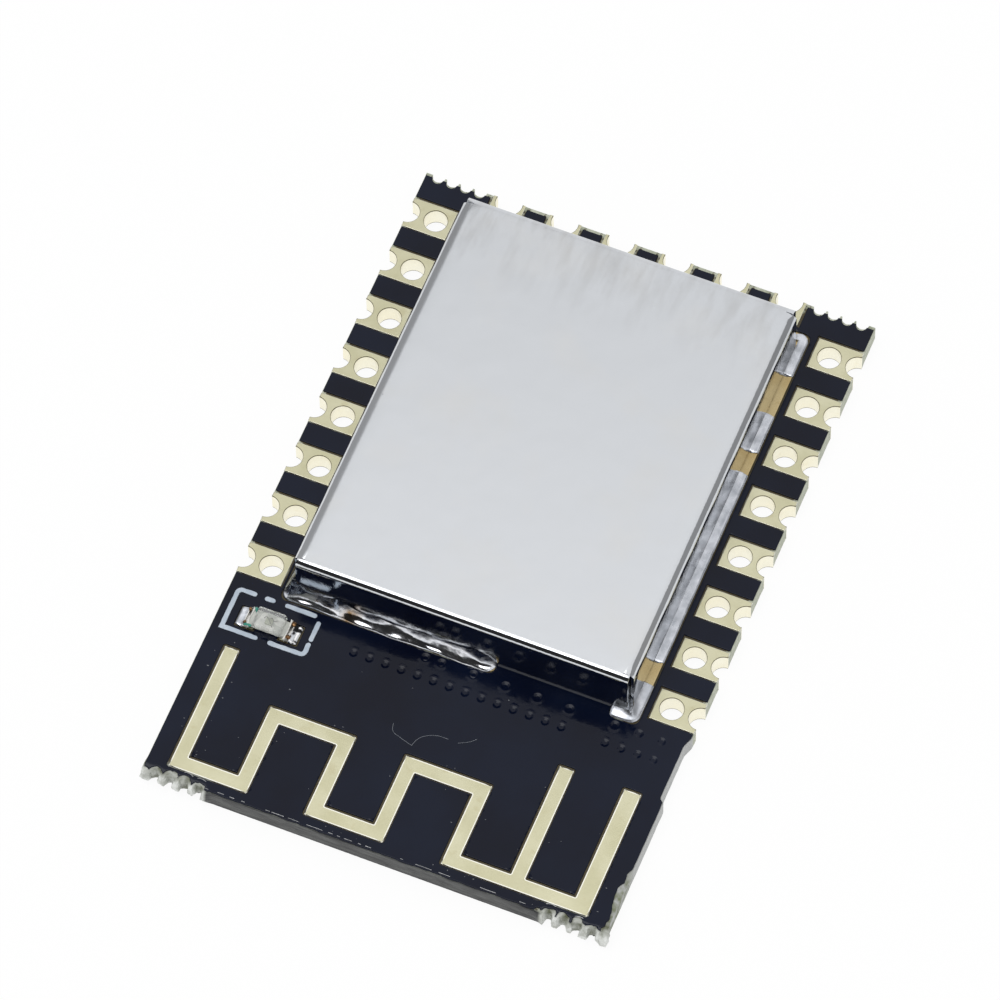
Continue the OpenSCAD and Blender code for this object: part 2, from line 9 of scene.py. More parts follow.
import bmesh
import bpy
import numpy as np
from mathutils import Matrix, Vector, noise
from mathutils.geometry import delaunay_2d_cdt


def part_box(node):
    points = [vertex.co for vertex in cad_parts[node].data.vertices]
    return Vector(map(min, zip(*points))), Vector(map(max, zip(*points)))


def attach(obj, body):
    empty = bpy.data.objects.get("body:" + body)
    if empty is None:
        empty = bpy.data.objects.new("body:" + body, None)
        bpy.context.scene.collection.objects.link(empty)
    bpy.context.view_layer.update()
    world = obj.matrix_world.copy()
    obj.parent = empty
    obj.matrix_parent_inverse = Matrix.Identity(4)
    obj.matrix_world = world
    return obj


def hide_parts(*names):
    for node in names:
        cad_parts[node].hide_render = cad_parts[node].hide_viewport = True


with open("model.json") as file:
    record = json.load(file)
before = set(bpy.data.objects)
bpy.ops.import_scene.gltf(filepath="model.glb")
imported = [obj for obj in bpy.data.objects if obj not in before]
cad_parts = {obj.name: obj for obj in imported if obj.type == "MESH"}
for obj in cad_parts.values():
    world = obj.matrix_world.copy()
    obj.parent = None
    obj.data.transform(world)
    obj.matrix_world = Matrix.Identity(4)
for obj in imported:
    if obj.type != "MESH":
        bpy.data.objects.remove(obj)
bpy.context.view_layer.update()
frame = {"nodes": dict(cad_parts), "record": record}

MM = 0.001


def box_mm(node):
    """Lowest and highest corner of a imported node, in millimetres."""
    return tuple(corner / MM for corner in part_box(node))


# ---------------------------------------------------------------- sizes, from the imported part

BOARD_LO, BOARD_HI = box_mm("substrate")
MASK_TOP = box_mm("top_mask")[1].z
LAND_TOP = box_mm("antenna_trace")[1].z
HALF_W = BOARD_HI.x
NEAR_Y, FAR_Y = BOARD_LO.y, BOARD_HI.y
CORE_LOW, CORE_TOP = BOARD_LO.z, BOARD_HI.z
CORE_MIDDLE = (CORE_LOW + CORE_TOP) / 2

CAN_LO, CAN_HI = box_mm("shield_can")
LAMP_LO, LAMP_HI = box_mm("lamp_terminals")
TRACE_LO, TRACE_HI = box_mm("antenna_trace")
RING_LO, RING_HI = box_mm("shield_land")
OUTLINE_LO, OUTLINE_HI = box_mm("lamp_outline")
PADS_LO, PADS_HI = box_mm("right_pads")
ENDS_LO, ENDS_HI = box_mm("end_pads")

HOLES = [m for m in frame["record"]["mounts"] if m["kind"] == "bore"]
HOLE_R = HOLES[0]["dims"]["r_mm"]
PAD_Y = sorted(m["pos_m"][1] / MM for m in HOLES if m["pos_m"][0] > 0)
HOLE_INSET = HALF_W - HOLES[-1]["pos_m"][0] / MM
PITCH = PAD_Y[1] - PAD_Y[0]
PAD_LEN = PADS_HI.y - PADS_LO.y - PITCH * (len(PAD_Y) - 1)
PAD_REACH = PADS_HI.x - PADS_LO.x
END_REACH = ENDS_HI.y - ENDS_LO.y
END_COUNT = round((ENDS_HI.x - ENDS_LO.x - PAD_LEN) / PITCH) + 1
END_X = [(i - (END_COUNT - 1) / 2) * PITCH for i in range(END_COUNT)]
PLATING = 0.035
END_HOLE_R = HOLE_R + 0.06
END_HOLE_IN = 0.1
MASK_GAP = 0.05
MASK_SHIFT = (-0.02, 0.025)

# breakaway scallops, measured along an edge from either end
SCALLOP_R = 0.22
SCALLOP_PITCH = 0.5
SCALLOP_INSET = 0.45
SCALLOPS = 4
SCALLOP_PLACES = [SCALLOP_INSET + i * SCALLOP_PITCH for i in range(SCALLOPS)]
SCALLOP_PLACES += [2 * HALF_W - s for s in SCALLOP_PLACES]
CORNER_END = HALF_W - SCALLOP_INSET - (SCALLOPS - 1) * SCALLOP_PITCH - SCALLOP_R

# how deep the near corners are torn, and where the right edge is worn in
TORN_DEPTH = 0.5
TIP_DEPTH = 0.3
LOBES = 2.2
WORN_START = PAD_Y[0] - 0.6
WORN_STEP = -6.85
WORN_IN = 0.13
MASK_CHIPS = NEAR_Y + 2.5

# antenna
TRACE_W = 0.5
FEED_W = 0.6
FOLD_TOP = TRACE_LO.y + 3.18
FOLD_EXTRA = 0.28

# shield
SHEET = 0.2
BEND = 0.24
SIDE_BEND = 0.38
END_CUT = 0.13
SLIT = 0.06
SIDE_BEADS = ((0, 0.083), (0.136, 0.645), (0.698, 0.804), (0.906, 1))
NEAR_BEADS = ((0, 0.605), (0.942, 1))

# indicator lamp
LENS_LO, LENS_HI = box_mm("lamp_lens")
BASE_LO, BASE_HI = box_mm("lamp_base")
LANDS_LO, LANDS_HI = box_mm("lamp_lands")
LAMP_X = (LAMP_LO.x + LAMP_HI.x) / 2
LAMP_Y = (LAMP_LO.y + LAMP_HI.y) / 2
LAMP_L = LAMP_HI.x - LAMP_LO.x
LAMP_W = LAMP_HI.y - LAMP_LO.y
LAMP_LAND = (LAMP_L / 2 - 0.35, (LANDS_HI.x - LANDS_LO.x) / 2)
LAMP_LAND_HALF = (LAMP_W - 0.12) / 2
LAMP_WALL = 0.03
NOTCH_R = 0.12

# via rows
VIA_PITCH = 0.557
VIA_R = 0.14
VIA_LO, VIA_HI = box_mm("ground_vias")
VIA_ROW = VIA_LO.y + VIA_R
VIA_SPARSE_ROW = VIA_HI.y - VIA_R
VIA_START = VIA_LO.x + VIA_R
VIA_END = VIA_HI.x - VIA_R
VIAS = (
    [(VIA_START + i * VIA_PITCH, VIA_ROW) for i in range(14)]
    + [(VIA_END - i * VIA_PITCH, VIA_ROW) for i in range(4)]
    + [(VIA_START + i * VIA_PITCH, VIA_SPARSE_ROW) for i in (4, 5, 7, 9, 11, 13)]
    + [(VIA_END - i * VIA_PITCH, VIA_SPARSE_ROW) for i in (0, 1.4, 2.9)]
)


# ---------------------------------------------------------------- flat outlines


def clamped(value):
    """The value held between 0 and 1."""
    return min(1.0, max(0.0, value))


def uneven(x, y, z):
    """A smooth uneven field, from -1 to 1."""
    return noise.noise(Vector((x, y, z)))


def layered(x, y, z, roughness, layers):
    """An uneven field with finer and finer layers."""
    return noise.fractal(Vector((x, y, z)), roughness, 2.0, layers)


def v2(x, y):
    return Vector((x, y))


def rectangle(x0, y0, x1, y1):
    return [v2(x0, y0), v2(x1, y0), v2(x1, y1), v2(x0, y1)]


def circle(x, y, r, count=40):
    turn = 2 * math.pi / count
    return [v2(x + r * math.cos(i * turn), y + r * math.sin(i * turn)) for i in range(count)]


def arc_bite(r, count=14):
    """A half-round bite, as (along, inward) points."""
    turns = [math.pi * i / count for i in range(count + 1)]
    return [(-r * math.cos(a), r * math.sin(a)) for a in turns]


def sunk_bite(r, sunk, count=18):
    """A bite from a hole whose centre lies inside the edge."""
    rise = math.asin(sunk / r)
    turns = [math.pi + rise - (math.pi + 2 * rise) * i / count for i in range(count + 1)]
    return [(r * math.cos(a), sunk + r * math.sin(a)) for a in turns]


def box_bite(width, depth):
    return [(-width / 2, 0), (-width / 2, depth), (width / 2, depth), (width / 2, 0)]


def bitten_side(start, end, bites):
    """Points from start to just before end, with bites (place along, points) cut in on the left."""
    along = (end - start).normalized()
    inward = v2(-along.y, along.x)
    points = [start]
    for place, bite in sorted(bites, key=lambda b: b[0]):
        points += [start + along * (place + u) + inward * v for u, v in bite]
    return points


def closed(points, least=1e-4):
    """The loop without points that repeat the one before."""
    kept = []
    for p in points:
        if not kept or (p - kept[-1]).length > least:
            kept.append(p)
    if (kept[0] - kept[-1]).length <= least:
        kept.pop()
    return kept


def area(loop):
    return sum(p.x * q.y - q.x * p.y for p, q in zip(loop, loop[1:] + loop[:1])) / 2


def resampled(loop, step):
    points = []
    for p, q in zip(loop, loop[1:] + loop[:1]):
        count = max(1, math.ceil((q - p).length / step))
        points += [p.lerp(q, i / count) for i in range(count)]
    return points


def left_normals(loop):
    """Normals to the left of travel, lengthened at corners so that an offset stays parallel."""
    normals = []
    for before, here, after in zip(loop[-1:] + loop[:-1], loop, loop[1:] + loop[:1]):
        a = (here - before).normalized()
        b = (after - here).normalized()
        na, nb = v2(-a.y, a.x), v2(-b.y, b.x)
        middle = (na + nb) if (na + nb).length > 1e-6 else na
        middle.normalize()
        normals.append(middle / max(0.5, middle.dot(na)))
    return normals


def offset(loop, distance):
    """The loop moved to the left of its travel."""
    return [p + n * distance for p, n in zip(loop, left_normals(loop))]


def rounded(loop, r, count=4):
    """The loop with each corner turned into a small arc."""
    points = []
    for before, here, after in zip(loop[-1:] + loop[:-1], loop, loop[1:] + loop[:1]):
        a = here + (before - here).normalized() * min(r, (before - here).length / 2)
        b = here + (after - here).normalized() * min(r, (after - here).length / 2)
        for i in range(count + 1):
            t = i / count
            points.append(a * (1 - t) ** 2 + here * 2 * t * (1 - t) + b * t**2)
    return points


def ragged(loop, amount, scale, seed=0.0, step=0.06):
    """The loop with its points shaken along their normals. amount(x, y) is in millimetres."""
    loop = resampled(loop, step)
    out = []
    for p, n in zip(loop, left_normals(loop)):
        wave = layered(p.x * scale, p.y * scale, seed, 0.8, 3)
        out.append(p + n * amount(p.x, p.y) * wave)
    return out


def inside(px, py, loops):
    """Whether each point lies in the loops' even-odd area."""
    hit = np.zeros(len(px), bool)
    for loop in loops:
        for p, q in zip(loop, loop[1:] + loop[:1]):
            at = np.nonzero((p.y > py) != (q.y > py))[0]
            hit[at] ^= px[at] < (q.x - p.x) * (py[at] - p.y) / (q.y - p.y) + p.x
    return hit


def walked_edge(near, sides, far, setback=0.0):
    """The board's edge with bites along each side, set back from the far edge."""
    low_l, low_r = v2(-HALF_W, NEAR_Y), v2(HALF_W, NEAR_Y)
    high_l, high_r = v2(-HALF_W, FAR_Y - setback), v2(HALF_W, FAR_Y - setback)
    length = FAR_Y - NEAR_Y - setback
    loop = bitten_side(low_l, low_r, near) + bitten_side(low_r, high_r, sides)
    loop += bitten_side(high_r, high_l, far)
    loop += bitten_side(high_l, low_l, [(length - p, b) for p, b in sides])
    return closed(loop)


def board_outline(hole_r):
    """The board's edge with its scallops and half-holes."""
    corners = [(s, arc_bite(SCALLOP_R)) for s in SCALLOP_PLACES]
    half_holes = [(y - NEAR_Y, arc_bite(hole_r)) for y in PAD_Y]
    end_hole = sunk_bite(END_HOLE_R + hole_r - HOLE_R, END_HOLE_IN)
    return walked_edge(corners, half_holes, corners + [(x + HALF_W, end_hole) for x in END_X])


def trace_outline():
    """The meander, walked along its lower side and back along its upper side."""
    b, f, t, w = TRACE_LO.y, FOLD_TOP, TRACE_HI.y, TRACE_W
    low_gap = (TRACE_HI.x - TRACE_LO.x - 6 * w - FEED_W - 2 * FOLD_EXTRA) / 6
    low_step, high_step = w + low_gap, w + low_gap + FOLD_EXTRA
    x = [TRACE_LO.x]
    for step in (low_step, high_step, low_step, high_step, low_step, low_step):
        x.append(x[-1] + step)
    lower = [(x[0], b), (x[1] + w, b), (x[1] + w, f - w), (x[2], f - w), (x[2], b)]
    lower += [(x[3] + w, b), (x[3] + w, f - w), (x[4], f - w), (x[4], b), (x[6] + FEED_W, b)]
    upper = [(x[6] + FEED_W, t), (x[6], t), (x[6], b + w), (x[5] + w, b + w), (x[5] + w, t), (x[5], t)]
    upper += [(x[5], b + w), (x[4] + w, b + w), (x[4] + w, f), (x[3], f), (x[3], b + w)]
    upper += [(x[2] + w, b + w), (x[2] + w, f), (x[1], f), (x[1], b + w), (x[0] + w, b + w)]
    upper += [(x[0] + w, t), (x[0], t)]
    return [v2(*p) for p in lower + upper]


def ring_outline(grow):
    """The shield's land, open where the antenna feed passes under the near wall."""
    x0, y0, x1, y1 = RING_LO.x - grow, RING_LO.y - grow, RING_HI.x + grow, RING_HI.y + grow
    inner = CAN_LO.y - RING_LO.y + SHEET + 0.3 + 2 * grow
    u0, w0, u1, w1 = x0 + inner, y0 + inner, x1 - inner, y1 - inner
    g0, g1 = feed_gap()
    g0, g1 = g0 + grow, g1 - grow
    loop = [v2(g1, y0), v2(x1, y0), v2(x1, y1), v2(x0, y1), v2(x0, y0), v2(g0, y0)]
    return loop + [v2(g0, w0), v2(u0, w0), v2(u0, w1), v2(u1, w1), v2(u1, w0), v2(g1, w0)]


def feed_gap():
    """Both ends of the unsoldered stretch of the near wall."""
    width = CAN_HI.x - CAN_LO.x
    return CAN_LO.x + NEAR_BEADS[0][1] * width, CAN_LO.x + NEAR_BEADS[1][0] * width


# ---------------------------------------------------------------- solids from outlines


class Shape:
    """Points in millimetres, faces, and an edge value for each point, gathered from several solids."""

    def __init__(self):
        self.points = []
        self.faces = []
        self.values = []

    def add(self, points, faces, values=None):
        base = len(self.points)
        self.points += [tuple(p) for p in points]
        self.faces += [tuple(base + i for i in f) for f in faces]
        self.values += list(values) if values is not None else [0.0] * len(points)
        return self


def rim_rows(r, *more):
    """Rows of (inset, drop, edge value) that round a top edge, and any wider rows after them."""
    rows = [(s * r, r * (1 - math.sqrt(1 - (1 - s) ** 2)), 1 - s * 0.6) for s in (0, 0.3, 0.65)]
    return rows + [(r, 0.0, 0.2), (1.7 * r, 0.0, 0.0)] + list(more)


def plate(loops, low, high, rows, step=0.25, relief=None, push=None, wall_rows=1, extra=(), tone=None):
    """A flat solid of any outline, with rounded top edges and a top that follows relief(x, y).

    push(x, y, z) moves the side walls out or in. extra are further points for the top to follow.
    tone(x, y) scales the edge values.
    """
    oriented = []
    for i, loop in enumerate(loops):
        p = loop[0]
        here = (np.array([p.x]), np.array([p.y]))
        depth = sum(bool(inside(*here, [other])[0]) for j, other in enumerate(loops) if j != i)
        if (area(loop) > 0) == (depth % 2 == 1):
            loop = loop[::-1]
        oriented.append(resampled(loop, step))
    points, edges, drops, values = [], [], [], []
    for loop in oriented:
        base, count = len(points), len(loop)
        normals = left_normals(loop)
        edges += [(base + i, base + (i + 1) % count) for i in range(count)]
        for inset, drop, value in rows:
            points += [p + n * inset for p, n in zip(loop, normals)]
            drops += [drop] * count
            values += [value] * count
    points += [v2(*p) for p in extra]
    drops += [0.0] * len(extra)
    values += [rows[-1][2]] * len(extra)

    verts, _, tris, origin, _, _ = delaunay_2d_cdt(points, edges, [], 0, 1e-6)
    xy = np.array([tuple(p) for p in verts])
    tris = np.array([t for t in tris if len(t) == 3])
    centre = xy[tris].mean(1)
    a, b, c = xy[tris[:, 0]], xy[tris[:, 1]], xy[tris[:, 2]]
    twice = (b[:, 0] - a[:, 0]) * (c[:, 1] - a[:, 1]) - (b[:, 1] - a[:, 1]) * (c[:, 0] - a[:, 0])
    keep = inside(centre[:, 0], centre[:, 1], oriented) & (np.abs(twice) > 1e-9)
    tris = np.where(twice[:, None] < 0, tris[:, ::-1], tris)[keep]

    used = np.unique(tris)
    number = {int(old): new for new, old in enumerate(used)}
    tris = [tuple(number[int(i)] for i in t) for t in tris]
    xy = xy[used]
    first = [min(origin[i]) if origin[i] else 0 for i in used]
    drop = np.array([drops[i] for i in first])
    value = np.array([values[i] for i in first])
    top = high - drop
    if relief:
        top = top + np.array([relief(x, y) for x, y in xy])
    if tone:
        value = value * np.array([tone(x, y) for x, y in xy])

    halves = {(t[i], t[(i + 1) % 3]) for t in tris for i in range(3)}
    rim = [(i, j) for i, j in sorted(halves) if (j, i) not in halves]
    out = {}
    for i, j in rim:
        dx, dy = xy[j] - xy[i]
        length = math.hypot(dx, dy) or 1
        for k in (i, j):
            out[k] = out.get(k, np.zeros(2)) + np.array([dy, -dx]) / length
    count = len(xy)
    coords = [[x, y, z] for (x, y), z in zip(xy, top)] + [[x, y, low] for x, y in xy]
    value = list(value) + list(value)
    faces = list(tris) + [tuple(count + i for i in reversed(t)) for t in tris]
    columns = {}
    for k, normal in out.items():
        n = normal / (np.linalg.norm(normal) or 1)
        column = [k]
        for row in range(1, wall_rows):
            column.append(len(coords))
            z = top[k] + (low - top[k]) * row / wall_rows
            coords.append([xy[k][0], xy[k][1], z])
            value.append(1.0)
        column.append(count + k)
        if push:
            for m in column:
                shift = push(*coords[m])
                coords[m][0] += n[0] * shift
                coords[m][1] += n[1] * shift
        columns[k] = column
    for i, j in rim:
        for row in range(wall_rows):
            faces.append((columns[i][row], columns[i][row + 1], columns[j][row + 1], columns[j][row]))
    return coords, faces, value


def upside_down(solid, level):
    """The solid mirrored in a level plane."""
    points, faces, values = solid
    return [(x, y, 2 * level - z) for x, y, z in points], [f[::-1] for f in faces], values


def tube_wall(x, y, r_in, r_out, low, high, start, sweep, count, wobble):
    """A plated wall: a tube, or part of one, with a slightly uneven bore."""
    whole = abs(sweep - 2 * math.pi) < 1e-6
    levels = 5
    points, faces = [], []
    rings = count if whole else count + 1
    for i in range(rings):
        a = start + sweep * i / count
        ring = []
        for k in range(levels + 1):
            z = low + (high - low) * k / levels
            fade = math.sin(math.pi * k / levels)
            r = r_in + wobble * fade * uneven(x + 3 * math.cos(a), y + 3 * math.sin(a), 2 * z)
            ring.append((x + r * math.cos(a), y + r * math.sin(a), z))
        ring.append((x + r_out * math.cos(a), y + r_out * math.sin(a), high))
        ring.append((x + r_out * math.cos(a), y + r_out * math.sin(a), low))
        points += ring
    n = levels + 3
    for i in range(rings if whole else rings - 1):
        j = (i + 1) % rings
        faces += [(i * n + k, i * n + (k + 1) % n, j * n + (k + 1) % n, j * n + k) for k in range(n)]
    if not whole:
        faces += [tuple(range(n))[::-1], tuple((rings - 1) * n + k for k in range(n))]
    return points, faces


def ball(x, y, z, rx, ry, rz, seed, count=8):
    """A small uneven lump."""
    points, faces = [(x, y, z + rz)], []
    for i in range(1, count // 2):
        tilt = math.pi * i / (count // 2)
        for k in range(count):
            turn = 2 * math.pi * k / count
            wave = 1 + 0.35 * uneven(seed + math.cos(turn), math.sin(turn), tilt)
            px, py = rx * math.sin(tilt) * math.cos(turn), ry * math.sin(tilt) * math.sin(turn)
            points.append((x + px * wave, y + py * wave, z + rz * math.cos(tilt)))
    points.append((x, y, z - rz))
    last = len(points) - 1
    for k in range(count):
        m = (k + 1) % count
        faces.append((0, 1 + k, 1 + m))
        for i in range(count // 2 - 2):
            a, b = 1 + i * count, 1 + (i + 1) * count
            faces.append((a + k, b + k, b + m, a + m))
        faces.append((last, last - count + m, last - count + k))
    return points, faces


def add_object(name, data):
    obj = bpy.data.objects.new(name, data)
    bpy.context.scene.collection.objects.link(obj)
    return obj


def piece(name, shape, material, slot, *stands_for, smooth_angle=38.0):
    """A finished piece of the module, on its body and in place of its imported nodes."""
    mesh = bpy.data.meshes.new(name)
    mesh.from_pydata([(x * MM, y * MM, z * MM) for x, y, z in shape.points], [], shape.faces)
    edge = mesh.attributes.new("edge", "FLOAT", "POINT")
    edge.data.foreach_set("value", np.array(shape.values, np.float32))
    mesh.validate()
    mesh.materials.append(material)
    mesh.shade_smooth()
    mesh.set_sharp_from_angle(angle=math.radians(smooth_angle))
    obj = add_object(name, mesh)
    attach(obj, "root")
    if stands_for:
        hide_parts(*stands_for)


# ---------------------------------------------------------------- shader groups


def put(tree, kind, inputs=None, **settings):
    """A new node with its settings and inputs; an input is a value or another node's socket."""
    node = tree.nodes.new(kind)
    for key, value in settings.items():
        setattr(node, key, value)
    for key, value in (inputs or {}).items():
        if isinstance(value, bpy.types.NodeSocket):
            tree.links.new(value, node.inputs[key])
        else:
            node.inputs[key].default_value = value
    return node


def maths(tree, operation, a, b=0.0, c=0.0):
    return put(tree, "ShaderNodeMath", {0: a, 1: b, 2: c}, operation=operation).outputs[0]


def times(tree, a, b):
    return maths(tree, "MULTIPLY", a, b)


def span(tree, value, low, high, to_low=0.0, to_high=1.0):
    """The value spread from one range to another, and held there."""
    inputs = {"Value": value, "From Min": low, "From Max": high, "To Min": to_low, "To Max": to_high}
    return put(tree, "ShaderNodeMapRange", inputs, clamp=True).outputs["Result"]


def blend(tree, factor, a, b):
    """The colour a where the factor is 0 and b where it is 1."""
    return put(tree, "ShaderNodeMix", {0: factor, 6: a, 7: b}, data_type="RGBA").outputs[2]


def new_group(name, inputs, outputs):
    """A shader group with named sockets. Returns its tree, its input sockets and its output node."""
    tree = bpy.data.node_groups.new(name, "ShaderNodeTree")
    for label, kind, value in inputs:
        socket = tree.interface.new_socket(label, in_out="INPUT", socket_type=kind)
        socket.default_value = value
    for label, kind in outputs:
        tree.interface.new_socket(label, in_out="OUTPUT", socket_type=kind)
    given = tree.nodes.new("NodeGroupInput")
    return tree, given.outputs, tree.nodes.new("NodeGroupOutput")


def vector_maths(tree, operation, inputs):
    return put(tree, "ShaderNodeVectorMath", inputs, operation=operation).outputs[0]


def millimetre_position(tree, stretch=None):
    """Object coordinates in millimetres, stretched if asked."""
    place = put(tree, "ShaderNodeTexCoord").outputs["Object"]
    place = vector_maths(tree, "SCALE", {0: place, "Scale": 1 / MM})
    return place if stretch is None else vector_maths(tree, "MULTIPLY", {0: place, 1: stretch})


def position_parts(tree):
    """The X, Y and Z sockets of the place in millimetres."""
    return put(tree, "ShaderNodeSeparateXYZ", {0: millimetre_position(tree)}).outputs


def noise_field(tree, place, scale, detail):
    inputs = {"Vector": place, "Scale": scale, "Detail": detail}
    return put(tree, "ShaderNodeTexNoise", inputs).outputs["Fac"]


def edge_value(tree):
    """The piece's own edge value at each point."""
    return put(tree, "ShaderNodeAttribute", attribute_name="edge").outputs["Fac"]


FLOAT, VECTOR = "NodeSocketFloat", "NodeSocketVector"


def group_cloud():
    """Soft uneven field. Scale is in waves per millimetre."""
    inputs = [("Scale", FLOAT, 1.0), ("Detail", FLOAT, 3.0), ("Low", FLOAT, 0.35), ("High", FLOAT, 0.65)]
    inputs += [("Stretch", VECTOR, (1, 1, 1)), ("Shift", FLOAT, 0.0)]
    tree, given, out = new_group("soft cloud", inputs, [("Mask", FLOAT)])
    place = millimetre_position(tree, given["Stretch"])
    place = vector_maths(tree, "ADD", {0: place, 1: given["Shift"]})
    field = noise_field(tree, place, given["Scale"], given["Detail"])
    tree.links.new(span(tree, field, given["Low"], given["High"]), out.inputs["Mask"])
    return tree


def group_fleck():
    """Scattered small flecks. Scale is in cells per millimetre, Amount is the share of cells with one."""
    inputs = [("Scale", FLOAT, 3.0), ("Size", FLOAT, 0.12), ("Amount", FLOAT, 0.2), ("Soft", FLOAT, 0.05)]
    tree, given, out = new_group("scattered flecks", inputs, [("Mask", FLOAT)])
    place = millimetre_position(tree)
    warp = put(tree, "ShaderNodeTexNoise", {"Vector": place, "Scale": 9.0}).outputs["Color"]
    warp = vector_maths(tree, "SCALE", {0: warp, "Scale": 0.08})
    place = vector_maths(tree, "ADD", {0: place, 1: warp})
    cell = put(tree, "ShaderNodeTexVoronoi", {"Vector": place, "Scale": given["Scale"]})
    lot = put(tree, "ShaderNodeSeparateColor", {0: cell.outputs["Color"]}).outputs[0]
    chosen = maths(tree, "LESS_THAN", lot, given["Amount"])
    far = maths(tree, "ADD", given["Size"], given["Soft"])
    dot = span(tree, cell.outputs["Distance"], given["Size"], far, 1.0, 0.0)
    tree.links.new(times(tree, dot, chosen), out.inputs["Mask"])
    return tree


def group_grain():
    """Fine relief and tone, drawn out by Stretch as rolled or milled metal is."""
    inputs = [("Scale", FLOAT, 20.0), ("Stretch", VECTOR, (1, 1, 1)), ("Detail", FLOAT, 4.0)]
    tree, given, out = new_group("fine grain", inputs, [("Height", FLOAT), ("Tone", FLOAT)])
    place = millimetre_position(tree, given["Stretch"])
    field = noise_field(tree, place, given["Scale"], given["Detail"])
    tree.links.new(field, out.inputs["Height"])
    tree.links.new(span(tree, field, 0.3, 0.7), out.inputs["Tone"])
    return tree


def group_broken_edge():
    """The piece's own edge value, broken up so that a rim isn't even."""
    inputs = [("Scale", FLOAT, 4.0), ("Start", FLOAT, 0.4), ("End", FLOAT, 0.9)]
    tree, given, out = new_group("worn edge", inputs, [("Mask", FLOAT)])
    edge = edge_value(tree)
    place = millimetre_position(tree)
    field = noise_field(tree, place, given["Scale"], 3.0)
    broken = maths(tree, "MULTIPLY_ADD", field, 0.5, -0.25)
    summed = maths(tree, "ADD", edge, broken)
    tree.links.new(span(tree, summed, given["Start"], given["End"]), out.inputs["Mask"])
    return tree


CLOUD = group_cloud()
FLECK = group_fleck()
GRAIN = group_grain()
BROKEN_EDGE = group_broken_edge()


def use(tree, group, inputs):
    """The outputs of a shader group placed with its own values."""
    return put(tree, "ShaderNodeGroup", inputs, node_tree=group).outputs


def mask_of(tree, group, inputs):
    return use(tree, group, inputs)["Mask"]


def emptied(owner):
    """The node tree of a material or the world, with nothing in it."""
    owner.use_nodes = True
    owner.node_tree.nodes.clear()
    return owner.node_tree


def show(tree, surface, target="Material"):
    """Wires a shader to the output."""
    out = put(tree, "ShaderNodeOutput" + target)
    tree.links.new(surface, out.inputs["Surface"])


def new_material(name):
    """An empty material with its Principled shader wired to the output."""
    material = bpy.data.materials.new(name)
    tree = emptied(material)
    shader = put(tree, "ShaderNodeBsdfPrincipled")
    show(tree, shader.outputs[0])
    return material, tree, shader


def colour_and_gloss(tree, shader, colour, rough):
    tree.links.new(colour, shader.inputs["Base Color"])
    tree.links.new(rough, shader.inputs["Roughness"])


def bump(tree, height, depth, normal=None):
    """A normal raised by a height of the given depth in millimetres."""
    inputs = {"Height": height, "Distance": depth * MM}
    if normal is not None:
        inputs["Normal"] = normal
    return put(tree, "ShaderNodeBump", inputs).outputs[0]


def raise_bump(tree, shader, height, depth, normal=None):
    tree.links.new(bump(tree, height, depth, normal), shader.inputs["Normal"])


def rgb(r, g, b):
    return (r, g, b, 1.0)


def plain_finish(name, colour, other, scale=2.0, rough=(0.4, 0.55), metallic=0.0, grain=30.0, depth=0.002,
                 fleck=None, fleck_amount=0.15, fleck_scale=4.0, ior=1.5, stretch=(1, 1, 1)):
    """A finish of two close colours in soft patches, with fine relief and a few flecks."""
    material, tree, shader = new_material(name)
    patches = mask_of(tree, CLOUD, {"Scale": scale, "Stretch": stretch})
    colour = blend(tree, patches, rgb(*colour), rgb(*other))
    if fleck:
        spots = mask_of(tree, FLECK, {"Scale": fleck_scale, "Amount": fleck_amount, "Size": 0.08})
        colour = blend(tree, spots, colour, rgb(*fleck))
    relief = use(tree, GRAIN, {"Scale": grain, "Stretch": stretch})
    colour_and_gloss(tree, shader, colour, span(tree, relief["Tone"], 0.0, 1.0, *rough))
    shader.inputs["Metallic"].default_value = metallic
    shader.inputs["IOR"].default_value = ior
    raise_bump(tree, shader, relief["Height"], depth)
    return material


def mask_finish():
    """Blue-black solder mask: dark and semi-gloss, with a soft orange peel and fine dust."""
    material, tree, shader = new_material("solder mask")
    patches = mask_of(tree, CLOUD, {"Scale": 0.35, "Detail": 4.0})
    colour = blend(tree, patches, rgb(0.0020, 0.0034, 0.0120), rgb(0.0034, 0.0066, 0.0200))
    dust = mask_of(tree, FLECK, {"Scale": 5.0, "Amount": 0.03, "Size": 0.02, "Soft": 0.05})
    colour = blend(tree, times(tree, dust, 0.25), colour, rgb(0.10, 0.11, 0.13))
    haze = mask_of(tree, CLOUD, {"Scale": 0.8, "Detail": 5.0, "Shift": 7.0})
    colour_and_gloss(tree, shader, colour, span(tree, haze, 0.0, 1.0, 0.09, 0.15))
    shader.inputs["IOR"].default_value = 1.3
    peel = use(tree, GRAIN, {"Scale": 2.2, "Detail": 2.0})["Height"]
    fine = use(tree, GRAIN, {"Scale": 26.0, "Detail": 3.0})["Height"]
    soft = bump(tree, peel, 0.006)
    raise_bump(tree, shader, fine, 0.0006, soft)
    return material


